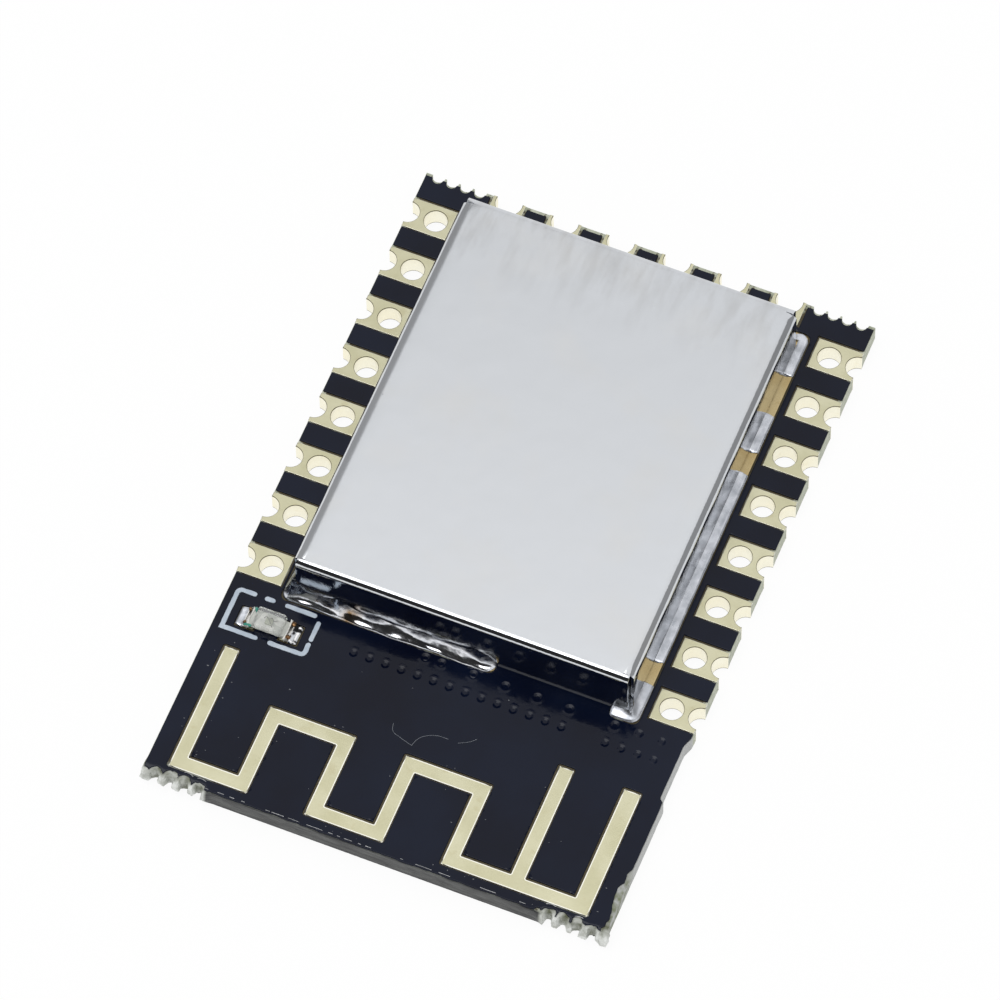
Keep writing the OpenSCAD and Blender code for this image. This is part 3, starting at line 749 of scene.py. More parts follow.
def gold_finish(name, dark, light, tarnished, rough):
    """Matt gold plating with faint tarnish. Pale rims away from the holes are a painted highlight; rims
    round the holes go dark.
    """
    material, tree, shader = new_material(name)
    patches = mask_of(tree, CLOUD, {"Scale": 0.9, "Detail": 4.0})
    colour = blend(tree, patches, rgb(*dark), rgb(*light))
    tarnish = mask_of(tree, CLOUD, {"Scale": 2.3, "Low": 0.62, "High": 0.72, "Shift": 3.0})
    colour = blend(tree, times(tree, tarnish, 0.35), colour, rgb(*tarnished))
    # Rims round the holes are darkened: a dark line along each hole's edge.
    dark_hole_rim = mask_of(tree, BROKEN_EDGE, {"Scale": 6.0, "Start": 0.15, "End": 0.5})
    colour = blend(tree, times(tree, dark_hole_rim, 0.85), colour, rgb(0.10, 0.085, 0.05))
    # Painted highlight: rims with a negative edge value are lightened toward near-white, standing in for
    # light caught by the rounded rims.
    edge = edge_value(tree)
    painted_rim_highlight = span(tree, edge, -0.6, -0.1, 0.75, 0.0)
    colour = blend(tree, painted_rim_highlight, colour, rgb(0.98, 0.97, 0.91))
    grain = use(tree, GRAIN, {"Scale": 40.0})
    colour_and_gloss(tree, shader, colour, span(tree, grain["Tone"], 0.0, 1.0, *rough))
    shader.inputs["Metallic"].default_value = 1.0
    raise_bump(tree, shader, grain["Height"], 0.0012)
    return material


def board_finish():
    """Glass-epoxy: brown under a mask gap, pale where cut, whitened where torn and lit by a painted
    highlight, dark where milled.
    """
    material, tree, shader = new_material("glass-epoxy")
    place = position_parts(tree)
    edge = edge_value(tree)
    threads = mask_of(tree, CLOUD, {"Scale": 7.0, "Detail": 6.0, "Stretch": (0.5, 0.5, 2.5)})
    cut_face = blend(tree, threads, rgb(0.34, 0.37, 0.27), rgb(0.58, 0.60, 0.49))
    under = rgb(0.060, 0.044, 0.012)
    colour = blend(tree, span(tree, edge, 0.35, 0.8), under, cut_face)

    right = span(tree, place["X"], HALF_W - 0.4, HALF_W - 0.3)
    chipped = times(tree, right, span(tree, place["Y"], PAD_Y[0] - 0.65, PAD_Y[0] - 0.7))
    grit = mask_of(tree, CLOUD, {"Scale": 3.0, "Detail": 6.0, "Low": 0.35, "High": 0.6})
    green_end = span(tree, place["Y"], NEAR_Y + 2.0, NEAR_Y + 2.6, 1.0, 0.0)
    pale = blend(tree, times(tree, grit, green_end), rgb(0.46, 0.47, 0.46), rgb(0.17, 0.19, 0.11))
    colour = blend(tree, chipped, colour, pale)

    height = span(tree, place["Z"], CORE_LOW, CORE_TOP)
    # Torn corners: pale from the torn fibre, with a painted highlight that whitens the lobes most toward
    # the outer edge.
    corner = span(tree, maths(tree, "ABSOLUTE", place["X"]), CORNER_END - 0.2, CORNER_END)
    corner = times(tree, corner, span(tree, place["Y"], NEAR_Y + 0.45, NEAR_Y + 0.6, 1.0, 0.0))
    lumps = mask_of(tree, CLOUD, {"Scale": 3.2, "Detail": 4.0, "Low": 0.38, "High": 0.62, "Shift": 2.0})
    outer = span(tree, place["Y"], NEAR_Y - 0.02, NEAR_Y + 0.2, 1.0, 0.0)
    white = maths(tree, "MULTIPLY_ADD", outer, 0.55, times(tree, lumps, 0.5))
    torn = blend(tree, white, rgb(0.10, 0.11, 0.055), rgb(0.80, 0.82, 0.79))
    colour = blend(tree, corner, colour, torn)

    drawn_out = {"Scale": 1.8, "Detail": 7.0, "Stretch": (0.7, 1.0, 5.0), "Low": 0.35, "High": 0.8}
    milled = blend(tree, mask_of(tree, CLOUD, drawn_out), rgb(0.016, 0.017, 0.018), rgb(0.13, 0.135, 0.13))
    low_line = span(tree, height, 0.04, 0.16, 1.0, 0.0)
    milled = blend(tree, low_line, milled, rgb(0.012, 0.012, 0.013))
    front = span(tree, place["Y"], NEAR_Y + 0.03, NEAR_Y + 0.1, 1.0, 0.0)
    middle = span(tree, maths(tree, "ABSOLUTE", place["X"]), CORNER_END - 0.1, CORNER_END + 0.02, 1.0, 0.0)
    colour = blend(tree, times(tree, front, middle), colour, milled)
    tree.links.new(colour, shader.inputs["Base Color"])
    shader.inputs["Roughness"].default_value = 0.5
    rough = use(tree, GRAIN, {"Scale": 9.0, "Detail": 6.0, "Stretch": (1.0, 1.0, 3.0)})["Height"]
    raise_bump(tree, shader, rough, 0.02)
    return material


def sheet_finish():
    """Satin tin-plated sheet: fine grain, faint smudges toward the far end and a few pits."""
    material, tree, shader = new_material("plated sheet")
    place = position_parts(tree)
    # Painted shading: the sheet is lighter at the near end and darker toward the far end, standing in for
    # the smooth change of reflected light across it.
    along = span(tree, place["Y"], CAN_LO.y, CAN_HI.y)
    colour = blend(tree, along, rgb(0.67, 0.69, 0.72), rgb(0.605, 0.625, 0.655))
    grain = use(tree, GRAIN, {"Scale": 20.0, "Detail": 5.0, "Stretch": (1.0, 0.8, 1.0)})
    colour = blend(tree, times(tree, grain["Tone"], 0.10), colour, rgb(0.44, 0.44, 0.44))
    far_end = span(tree, place["Y"], CAN_HI.y - 3.2, CAN_HI.y - 0.2)
    wiped = {"Scale": 1.5, "Detail": 6.0, "Stretch": (1.6, 0.45, 1.0), "Low": 0.45, "High": 0.7}
    smudge = times(tree, times(tree, mask_of(tree, CLOUD, wiped), far_end), 0.5)
    colour = blend(tree, smudge, colour, rgb(0.43, 0.43, 0.43))
    warm = mask_of(tree, CLOUD, {"Scale": 0.45, "Detail": 4.0, "Low": 0.5, "High": 0.72, "Shift": 11.0})
    colour = blend(tree, times(tree, warm, 0.22), colour, rgb(0.66, 0.64, 0.60))
    pits = mask_of(tree, FLECK, {"Scale": 1.6, "Amount": 0.16, "Size": 0.02, "Soft": 0.03})
    colour = blend(tree, times(tree, pits, 0.6), colour, rgb(0.22, 0.22, 0.23))
    facing = put(tree, "ShaderNodeNewGeometry").outputs["Normal"]
    up = put(tree, "ShaderNodeSeparateXYZ", {0: facing}).outputs["Z"]
    satin = span(tree, up, 0.93, 1.0, 0.05, 0.24)
    colour_and_gloss(tree, shader, colour, satin)
    shader.inputs["Metallic"].default_value = 1.0
    waves = use(tree, GRAIN, {"Scale": 0.8, "Detail": 2.0})["Height"]
    soft = bump(tree, waves, 0.012)
    drawn = use(tree, GRAIN, {"Scale": 7.0, "Detail": 5.0, "Stretch": (1.0, 1.0, 0.35)})["Height"]
    flank = span(tree, up, 0.55, 0.93, 1.0, 0.0)
    drawn = times(tree, drawn, flank)
    soft = bump(tree, drawn, 0.006, soft)
    raise_bump(tree, shader, grain["Height"], 0.0014, soft)
    return material


def solder_finish(name, dark, light, rough, spread=(0.35, 0.65)):
    """Tin solder with duller patches and a little amber flux by the near wall."""
    material, tree, shader = new_material(name)
    patches = mask_of(tree, CLOUD, {"Scale": 2.5, "Detail": 4.0, "Low": spread[0], "High": spread[1]})
    colour = blend(tree, patches, rgb(*dark), rgb(*light))
    place = position_parts(tree)
    stain_x = span(tree, maths(tree, "ABSOLUTE", maths(tree, "ADD", place["X"], 3.85)), 0.1, 0.4, 1.0, 0.0)
    stain_y = span(tree, place["Y"], CAN_LO.y - 0.1, CAN_LO.y + 0.1, 1.0, 0.0)
    stain = times(tree, times(tree, stain_x, stain_y), patches)
    colour = blend(tree, stain, colour, rgb(0.30, 0.17, 0.05))
    dull = mask_of(tree, CLOUD, {"Scale": 3.0, "Detail": 3.0, "Shift": 5.0})
    colour_and_gloss(tree, shader, colour, span(tree, dull, 0.0, 1.0, *rough))
    shader.inputs["Metallic"].default_value = 1.0
    flow = use(tree, GRAIN, {"Scale": 1.5, "Detail": 2.0})["Height"]
    soft = bump(tree, flow, 0.05)
    fine = use(tree, GRAIN, {"Scale": 12.0, "Detail": 3.0})["Height"]
    raise_bump(tree, shader, fine, 0.0025, soft)
    return material


def lens_finish():
    """Clear cast resin with a faint haze."""
    material, tree, shader = new_material("clear resin")
    haze = mask_of(tree, CLOUD, {"Scale": 3.0, "Detail": 3.0})
    colour = blend(tree, haze, rgb(0.90, 0.92, 0.91), rgb(0.97, 0.98, 0.97))
    shader.inputs["Transmission Weight"].default_value = 0.85
    shader.inputs["IOR"].default_value = 1.45
    grain = use(tree, GRAIN, {"Scale": 12.0})
    colour_and_gloss(tree, shader, colour, span(tree, grain["Tone"], 0.0, 1.0, 0.10, 0.20))
    raise_bump(tree, shader, grain["Height"], 0.004)
    return material


MASK = mask_finish()
GOLD = gold_finish("gold plating", (0.54, 0.52, 0.35), (0.61, 0.59, 0.42), (0.48, 0.43, 0.26), (0.34, 0.46))
# Painted light: the hole walls are coloured near-white cream, standing in for light from the white floor
# bounced into the holes.
PAINTED_BOUNCE_BARREL = gold_finish("bright plating", (0.98, 0.93, 0.73), (0.99, 0.96, 0.80), (0.90, 0.82, 0.58),
                     (0.25, 0.4))
FLUXED = gold_finish("fluxed plating", (0.50, 0.37, 0.17), (0.60, 0.48, 0.26), (0.34, 0.22, 0.08),
                     (0.25, 0.4))
BOARD = board_finish()
SHEET_METAL = sheet_finish()
SOLDER = solder_finish("bright solder", (0.62, 0.64, 0.69), (0.82, 0.83, 0.86), (0.08, 0.22))
DULL_SOLDER = solder_finish("dull solder", (0.44, 0.46, 0.50), (0.66, 0.68, 0.73), (0.22, 0.40))
# Painted highlights and dark reflections: sharp near-black and near-white patches stand in for a broken-up
# solder surface catching light.
PAINTED_GLINT_SOLDER = solder_finish("burnt solder", (0.02, 0.02, 0.02), (0.92, 0.92, 0.93), (0.08, 0.2),
                             (0.47, 0.53))
LENS = lens_finish()
INK = plain_finish("printed ink", (0.44, 0.51, 0.60), (0.55, 0.62, 0.70), 3.0, (0.4, 0.6), depth=0.003,
                   ior=1.45)
LAMP_WHITE = plain_finish("white lamp base", (0.50, 0.51, 0.47), (0.60, 0.61, 0.57), 4.0, (0.35, 0.5))
TIN = plain_finish("tin plate", (0.62, 0.62, 0.64), (0.76, 0.76, 0.78), 3.0, (0.25, 0.4), 1.0, depth=0.003)
CAP_WHITE = plain_finish("white cap", (0.66, 0.66, 0.62), (0.84, 0.84, 0.80), 6.0, (0.3, 0.45), 0.0,
                         fleck=(0.22, 0.16, 0.10), fleck_amount=0.15, fleck_scale=8.0)
DARK_WIRE = plain_finish("bond wire", (0.12, 0.12, 0.11), (0.20, 0.20, 0.18), 20.0, (0.3, 0.5), 0.6)
LAMP_METAL = plain_finish("lamp terminal", (0.55, 0.53, 0.50), (0.80, 0.79, 0.77), 3.5, (0.2, 0.4), 1.0,
                          fleck=(0.22, 0.13, 0.07), fleck_amount=0.3, fleck_scale=6.0, depth=0.006)
NOTCH_BROWN = plain_finish("brown notch", (0.12, 0.06, 0.03), (0.33, 0.19, 0.09), 9.0, (0.3, 0.5), 1.0)
POLARITY = plain_finish("green print", (0.02, 0.22, 0.17), (0.04, 0.30, 0.22), 6.0, (0.35, 0.5))
DIE = plain_finish("die", (0.36, 0.38, 0.30), (0.50, 0.52, 0.40), 12.0, (0.3, 0.5), 0.3)
COPPER = plain_finish("plated copper", (0.60, 0.30, 0.17), (0.72, 0.40, 0.24), 5.0, (0.3, 0.5), 1.0)
PACKAGE = plain_finish("moulded epoxy", (0.018, 0.018, 0.020), (0.030, 0.030, 0.032), 3.0, (0.55, 0.75),
                       grain=60.0, depth=0.004, fleck=(0.08, 0.08, 0.08), fleck_amount=0.1)
CERAMIC = plain_finish("dark ceramic", (0.10, 0.095, 0.09), (0.15, 0.14, 0.13), 4.0, (0.4, 0.6))
LID = plain_finish("crystal lid", (0.66, 0.63, 0.55), (0.76, 0.73, 0.66), 2.0, (0.25, 0.4), 1.0,
                   grain=40.0, stretch=(0.3, 3, 1))
TAN = plain_finish("tan ceramic", (0.36, 0.25, 0.14), (0.44, 0.32, 0.19), 5.0, (0.4, 0.6))
GLAZE = plain_finish("black glaze", (0.010, 0.011, 0.013), (0.020, 0.021, 0.024), 5.0, (0.2, 0.35))
PALE_BLUE = plain_finish("pale blue ceramic", (0.48, 0.56, 0.64), (0.58, 0.66, 0.73), 5.0, (0.4, 0.6))
DUST = plain_finish("dust", (0.10, 0.105, 0.12), (0.22, 0.225, 0.24), 20.0, (0.6, 0.8))
# Painted highlight: the pale colour of the strokes along the mask's rims.
RIM_GLINT_PAINT = plain_finish("chipped edge", (0.30, 0.31, 0.32), (0.62, 0.63, 0.64), 9.0, (0.5, 0.7))
FIBRE = plain_finish("fibre", (0.20, 0.22, 0.25), (0.34, 0.36, 0.40), 8.0, (0.5, 0.7))


# ---------------------------------------------------------------- board, mask, lands and pads


def corner_share(x, y):
    """1 in the torn breakaway corners of the near edge, fading out inside them."""
    near = max(0.0, 1 - (y - NEAR_Y) / TORN_DEPTH)
    return near * clamped((abs(x) - CORNER_END + 0.25) / 0.3)


def torn_tip(x, y):
    """1 at the outermost edge of a torn corner, fading out sooner than the tear."""
    return corner_share(x, y) * max(0.0, 1 - (y - NEAR_Y) / TIP_DEPTH)


def on_worn_side(x, y, strip):
    """Whether a place is in a strip along the right edge, past the last pad."""
    return x > HALF_W - strip and y < WORN_START


def edge_worn(y):
    """How far the right edge is worn in, between the last pad and a small step."""
    start = clamped((PAD_Y[0] - 0.75 - y) / 0.35)
    stop = clamped((y - WORN_STEP) / 0.06)
    return WORN_IN * start * stop


def worn_outline(loop):
    """The board's edge with its near corners torn and its right side worn in."""
    out = []
    for p, n in zip(loop, left_normals(loop)):
        x, y = p
        lobes = layered(x * LOBES, y * LOBES, 4.0, 0.7, 4)
        fine = uneven(x * 9, y * 9, 1.0)
        shift = corner_share(x, y) * (0.06 * lobes + 0.02 * fine + 0.01) + 0.004 * fine - 0.004
        if on_worn_side(x, y, 0.2):
            shift -= edge_worn(y) + 0.015 * abs(uneven(1.0, y * 1.7, 0.0))
        out.append(p - n * shift)
    return out


def board_push(x, y, z):
    """How far the side wall stands out between its top and bottom edges: lobes where it was torn."""
    level = (z - CORE_LOW) / (CORE_TOP - CORE_LOW)
    lobes = layered(x * LOBES, y * LOBES, z * 2.4, 0.7, 4)
    fine = uneven(x * 9, y * 9, z * 11)
    reach = corner_share(x, y) * (0.11 + 0.08 * lobes + 0.03 * fine) + 0.006 * fine
    return math.sin(math.pi * clamped(level)) * reach


def board_relief(x, y):
    """The board's top face, broken down at the torn corners and along the worn edge."""
    drop = torn_tip(x, y) * (0.05 + 0.18 * abs(uneven(x * 2.9, y * 2.9, 2.0)))
    if on_worn_side(x, y, 0.4):
        drop += 0.04 * max(0.0, (x - HALF_W + 0.2) / 0.2)
    return -drop


def make_board():
    bore = HOLE_R + PLATING
    loops = [worn_outline(resampled(board_outline(bore), 0.06))]
    loops += [circle(s * (HALF_W - HOLE_INSET), y, bore) for s in (-1, 1) for y in PAD_Y]
    loops += [circle(x, y, VIA_R, 12) for x, y in VIAS]
    rows = [(0, 0.012, 1.0), (0.012, 0.0, 1.0), (0.05, 0.0, 1.0), (0.13, 0.0, 0.7), (0.22, 0.0, 0.0)]
    solid = plate(loops, CORE_LOW, CORE_TOP, rows, 0.3, board_relief, board_push, 7)
    piece("board", Shape().add(*solid), BOARD, "laminate", "substrate")


def via_relief(x, y):
    """The mask's sunken skin over the vias: a flat-bottomed bowl with a low lip round it."""
    depth = 0.0
    for vx, vy in VIAS:
        d = math.hypot(x - vx, y - vy) / VIA_R
        if d < 2.2:
            wall = clamped((d - 0.45) / 0.6)
            bowl = -0.022 * (0.5 + 0.5 * math.cos(math.pi * wall))
            depth += bowl + 0.006 * math.exp(-(((d - 1.25) / 0.25) ** 2))
    return depth


def mask_relief(x, y):
    """The mask's skin: faint swell and ripple, the vias' bowls, and a drop at the torn corners."""
    swell = 0.0030 * uneven(x * 0.9, y * 0.9, 4.0)
    ripple = 0.0012 * uneven(x * 2.6, y * 2.6, 9.0)
    return via_relief(x, y) + swell + ripple - 0.004 - 0.05 * torn_tip(x, y)


def mask_shake(x, y):
    """How ragged the mask's edge is: torn at the near corners, chipped along the right side."""
    if corner_share(x, y) > 0:
        return 0.12
    if x > HALF_W - 0.4 and y < PAD_Y[0] - 1:
        return 0.015 if y > MASK_CHIPS else 0.09
    if abs(y - NEAR_Y) < 0.2:
        return 0.02
    return 0.003


def mask_loop():
    """The mask's edge: short of the board's edge, torn back round the scallops, open at the pads."""
    setback = 0.12
    opening = PAD_LEN + 2 * MASK_GAP
    near = [(s, arc_bite(SCALLOP_R + 0.02)) for s in SCALLOP_PLACES]
    far = [(s, arc_bite(SCALLOP_R - 0.04)) for s in SCALLOP_PLACES]
    far += [(x + HALF_W, box_bite(opening + 0.06, END_REACH + MASK_GAP - setback)) for x in END_X]
    sides = [(y - NEAR_Y + MASK_SHIFT[1], box_bite(opening, PAD_REACH + MASK_GAP)) for y in PAD_Y]
    loop = walked_edge(near, sides, far, setback)
    loop = ragged(loop, mask_shake, 2.4, 1.5, 0.08)
    return [mask_setback(p) for p in loop]


def mask_setback(p):
    """Draws the mask's edge in from the board's own edge, most of all where it has chipped off."""
    x, y = p
    if on_worn_side(x, y, 0.3):
        near_end = clamped((MASK_CHIPS - y) / 0.3)
        chip = max(0.0, uneven(5.0, y * 0.9, 3.0) * 1.3)
        x -= 0.025 + edge_worn(y) + near_end * (0.08 + 0.22 * chip)
    if y < NEAR_Y + 0.3:
        y += 0.04 + 0.05 * corner_share(x, y)
    return v2(min(max(x, -HALF_W + 0.02), HALF_W - 0.02), y)


def mask_island():
    """The mask under the shield, with its part windows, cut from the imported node."""
    cut = bmesh.new()
    cut.from_mesh(frame["nodes"]["top_mask"].data)
    x0, y0 = CAN_LO.x + SHEET, CAN_LO.y + SHEET
    x1, y1 = CAN_HI.x - SHEET, CAN_HI.y - SHEET
    for point, normal in (((x0, 0, 0), (-1, 0, 0)), ((x1, 0, 0), (1, 0, 0)),
                          ((0, y0, 0), (0, -1, 0)), ((0, y1, 0), (0, 1, 0))):
        geometry = cut.verts[:] + cut.edges[:] + cut.faces[:]
        bmesh.ops.bisect_plane(cut, geom=geometry, dist=1e-8, plane_co=Vector(point) * MM,
                               plane_no=normal, clear_outer=True)
        bmesh.ops.holes_fill(cut, edges=[e for e in cut.edges if e.is_boundary], sides=0)
    cut.verts.ensure_lookup_table()
    points = [v.co / MM for v in cut.verts]
    faces = [[v.index for v in f.verts] for f in cut.faces]
    cut.free()
    return points, faces


def via_points():
    """Extra points that let the mask follow each via's bowl."""
    points = []
    for vx, vy in VIAS:
        points.append((vx, vy))
        for r in (0.3, 0.5, 0.65, 0.8, 0.95, 1.1, 1.3, 1.6, 2.1):
            count = 12 if r < 0.6 else 20
            for k in range(count):
                a = 2 * math.pi * (k + r) / count
                points.append((vx + r * VIA_R * math.cos(a), vy + r * VIA_R * math.sin(a)))
    return points


def open_points(pitch=0.3):
    """A grid of points over the open mask, clear of the vias."""
    points = []
    for i in range(1, int(2 * HALF_W / pitch)):
        for k in range(1, int((FAR_Y - NEAR_Y) / pitch)):
            x, y = -HALF_W + i * pitch, NEAR_Y + k * pitch
            hidden = CAN_LO.x < x < CAN_HI.x and CAN_LO.y < y < CAN_HI.y
            crowded = any(abs(x - vx) < 0.32 and abs(y - vy) < 0.32 for vx, vy in VIAS)
            if not hidden and not crowded:
                points.append((x, y))
    return points


def lamp_patch(s, inner, outer, half):
    """A rectangle at one end of the lamp: its inner and outer reach from the middle, and half its width."""
    a, b = LAMP_X + s * inner, LAMP_X + s * outer
    return rectangle(min(a, b), LAMP_Y - half, max(a, b), LAMP_Y + half)


def make_mask():
    """The mask on both faces, open at the antenna, the pads, the shield's ring and the lamp."""
    trace = [p + v2(*MASK_SHIFT) for p in offset(rounded(trace_outline(), 0.05), -MASK_GAP)]
    g0, g1 = feed_gap()
    out = CAN_LO.y - RING_LO.y + MASK_GAP
    x0, y0, x1, y1 = CAN_LO.x - out, CAN_LO.y - out, CAN_HI.x + out, CAN_HI.y + out
    tongue = CAN_LO.y + SHEET
    ring = [v2(g1, y0), v2(x1, y0), v2(x1, y1), v2(x0, y1), v2(x0, y0), v2(g0, y0)]
    ring += [v2(g0, tongue), v2(g1, tongue)]
    loops = [mask_loop(), trace, rounded(ring, 0.28, 6)]
    for s in (-1, 1):
        opening = lamp_patch(s, LAMP_LAND[0] - MASK_GAP, LAMP_LAND[1] + MASK_GAP, LAMP_LAND_HALF + MASK_GAP)
        loops.append(rounded(opening, 0.06))
    rows = rim_rows(0.022, (0.07, 0.0, 0.0))
    extra = via_points() + open_points()
    shape = Shape().add(*plate(loops, CORE_TOP, MASK_TOP, rows, 0.2, mask_relief, None, 1, extra))
    shape.add(*mask_island())
    piece("mask_top", shape, MASK, "solder_mask", "top_mask")

    under = plate([mask_loop()], CORE_TOP, CORE_TOP + CORE_LOW, rows, 0.25, mask_relief, None, 1,
                  via_points() + open_points(0.8))
    under = upside_down(under, CORE_MIDDLE)
    piece("mask_under", Shape().add(*under), MASK, "solder_mask", "bottom_mask")


def near_hole(x, y):
    """1 on the rim of a hole or half-hole, where the gold goes dark, and -1 on a pad's other rims, which
    take the painted highlight.
    """
    spots = [(s * c, py) for s in (-1, 1) for c in (HALF_W - HOLE_INSET, HALF_W) for py in PAD_Y]
    if any(math.hypot(x - cx, y - cy) < HOLE_R + 0.06 for cx, cy in spots):
        return 1.0
    if any(math.hypot(x - cx, y - FAR_Y + END_HOLE_IN) < END_HOLE_R + 0.06 for cx in END_X):
        return 1.0
    return -1.0


def make_trace():
    rows = [(0, 0.014, 1.0), (0.005, 0.006, 1.0), (0.012, 0.0, 1.0), (0.032, 0.0, 1.0), (0.05, 0.0, 0.0)]
    outline = [rounded(trace_outline(), 0.03)]
    # A tone of -1 gives every rim of the trace the gold's painted pale highlight.
    shape = Shape().add(*plate(outline, CORE_TOP, LAND_TOP, rows, 0.25, tone=lambda x, y: -1.0))
    piece("antenna", shape, GOLD, "gold_plating", "antenna_trace")


def pad_lands(loops):
    """The upper and lower land of a row of pads."""
    top = plate(loops, CORE_TOP, LAND_TOP, rim_rows(0.016), 0.15, tone=near_hole)
    return top, upside_down(top, CORE_MIDDLE)


def make_side_pads(name, node, s):
    """One long edge's pads: lands on both faces, round holes and half-holes at the edge."""
    half = PAD_LEN / 2
    lands, walls, loops = Shape(), Shape(), []
    for y in PAD_Y:
        a, b = v2(s * (HALF_W - PAD_REACH), y + s * half), v2(s * (HALF_W - PAD_REACH), y - s * half)
        c, d = v2(s * HALF_W, y - s * half), v2(s * HALF_W, y + s * half)
        loops.append(closed([a, b, c] + bitten_side(c, d, [(half, arc_bite(HOLE_R, 24))])[1:] + [d]))
        loops.append(circle(s * (HALF_W - HOLE_INSET), y, HOLE_R, 48))
        span_z = (HOLE_R, HOLE_R + PLATING, CORE_LOW, CORE_TOP)
        walls.add(*tube_wall(s * (HALF_W - HOLE_INSET), y, *span_z, 0, 2 * math.pi, 48, 0.02))
        start = math.pi / 2 if s > 0 else -math.pi / 2
        walls.add(*tube_wall(s * HALF_W, y, *span_z, start, math.pi, 24, 0.02))
    for land in pad_lands(loops):
        lands.add(*land)
    piece(name, lands, GOLD, "gold_plating", node)
    piece(name + "_barrels", walls, PAINTED_BOUNCE_BARREL, "gold_plating", node)


def make_end_pads():
    """The far edge's pads, each with a hole cut through by the edge."""
    half = PAD_LEN / 2
    lands, walls, loops = Shape(), Shape(), []
    rise = math.asin(END_HOLE_IN / END_HOLE_R)
    for x in END_X:
        start, end = v2(x + half, FAR_Y), v2(x - half, FAR_Y)
        loop = bitten_side(start, end, [(half, sunk_bite(END_HOLE_R, END_HOLE_IN))]) + [end]
        loops.append(closed(loop + [v2(x - half, FAR_Y - END_REACH), v2(x + half, FAR_Y - END_REACH)]))
        walls.add(*tube_wall(x, FAR_Y - END_HOLE_IN, END_HOLE_R, END_HOLE_R + PLATING, CORE_LOW, CORE_TOP,
                             math.pi - rise, math.pi + 2 * rise, 28, 0.02))
    for land in pad_lands(loops):
        lands.add(*land)
    piece("pads_far", lands, GOLD, "gold_plating", "end_pads")
    piece("pads_far_barrels", walls, PAINTED_BOUNCE_BARREL, "gold_plating", "end_pads")


def make_pads():
    make_side_pads("pads_left", "left_pads", -1)
    make_side_pads("pads_right", "right_pads", 1)
    make_end_pads()


def make_ring():
    loop = rounded(ring_outline(0), 0.25, 6)
    shape = Shape().add(*plate([loop], CORE_TOP, LAND_TOP, rim_rows(0.014), 0.25))
    piece("shield_ring", shape, FLUXED, "gold_plating", "shield_land")


# ---------------------------------------------------------------- shield and its solder


def can_warp(p):
    """The sheet's slight unevenness: walls bow a little and the top has a low swell."""
    x, y, z = p
    level = (z - CAN_LO.z) / (CAN_HI.z - CAN_LO.z)
    wave = uneven(x * 0.30, y * 0.30, z * 0.4)
    small = uneven(x * 1.1 + 7, y * 1.1, z * 0.9)
    inward = 0.018 * abs(wave) + 0.006 * abs(small)
    cx, cy = (CAN_LO.x + CAN_HI.x) / 2, (CAN_LO.y + CAN_HI.y) / 2
    side_x = (x - cx) / ((CAN_HI.x - CAN_LO.x) / 2)
    side_y = (y - cy) / ((CAN_HI.y - CAN_LO.y) / 2)
    bow = math.sin(math.pi * clamped(level)) * inward
    if abs(side_x) > 0.95:
        x -= math.copysign(bow, side_x)
    if abs(side_y) > 0.96:
        y -= math.copysign(bow, side_y)
    if level > 0.99:
        rise = (1 - side_x**2) * (1 - side_y**2)
        z -= 0.010 * rise * (0.5 + 0.5 * wave)
    return x, y, z


def stations(limit, corner, count):
    """Even stations between -corner and corner, with one more at each limit."""
    inner = [-corner + 2 * corner * i / count for i in range(count + 1)]
    return [-limit] + inner + [limit] if limit > corner else inner


def flap_profile(reach, drop, steps=10):
    """(outward, downward) stations round a bend and down a wall."""
    turns = [math.pi / 2 * i / steps for i in range(steps + 1)]
    bend = [(reach * math.sin(t), BEND * (1 - math.cos(t))) for t in turns]
    return bend + [(reach, BEND + drop * i / 8) for i in range(1, 9)]


def folded_sheet():
    """The shield's outer face as one sheet: a top with four flaps, each turned down through its bend."""
    cx, cy = (CAN_LO.x + CAN_HI.x) / 2, (CAN_LO.y + CAN_HI.y) / 2
    w, l = (CAN_HI.x - CAN_LO.x) / 2, (CAN_HI.y - CAN_LO.y) / 2
    top_z = CAN_HI.z
    sheet = bmesh.new()
    known = {}

    def vert(x, y, z):
        key = (round(x, 5), round(y, 5), round(z, 5))
        if key not in known:
            known[key] = sheet.verts.new((x * MM, y * MM, z * MM))
        return known[key]

    def grid(us, vs, place):
        for u0, u1 in zip(us, us[1:]):
            for v0, v1 in zip(vs, vs[1:]):
                corners = [vert(*place(*c)) for c in ((u0, v0), (u1, v0), (u1, v1), (u0, v1))]
                if len(set(corners)) == 4:
                    sheet.faces.new(corners)

    xs = stations(w - SIDE_BEND, w - SIDE_BEND, 30)
    side_limit = l - SHEET - SLIT
    ys = sorted(set([-(l - BEND)] + stations(side_limit, side_limit, 38) + [l - BEND]))
    grid(xs, ys, lambda u, v: (cx + u, cy + v, top_z))

    drop = top_z - CAN_LO.z - BEND
    end_profile, side_profile = flap_profile(BEND, drop), flap_profile(SIDE_BEND, drop)
    rows = list(range(len(end_profile)))
    end_xs = stations(w - END_CUT, w - SIDE_BEND, 30)
    side_ys = [y for y in ys if abs(y) <= side_limit + 1e-6]
    for s in (-1, 1):
        def end_place(u, row, s=s):
            out, down = end_profile[row]
            return cx + u * -s, cy + s * (l - BEND + out), top_z - down

        def side_place(v, row, s=s):
            out, down = side_profile[row]
            return cx + s * (w - SIDE_BEND + out), cy + v * s, top_z - down

        grid(end_xs, rows, end_place)
        grid(side_ys, rows, side_place)
    bmesh.ops.recalc_face_normals(sheet, faces=sheet.faces)
    if sum(f.normal.z * f.calc_area() for f in sheet.faces) < 0:
        bmesh.ops.reverse_faces(sheet, faces=sheet.faces)
    mesh = bpy.data.meshes.new("can")
    sheet.to_mesh(mesh)
    sheet.free()
    return mesh


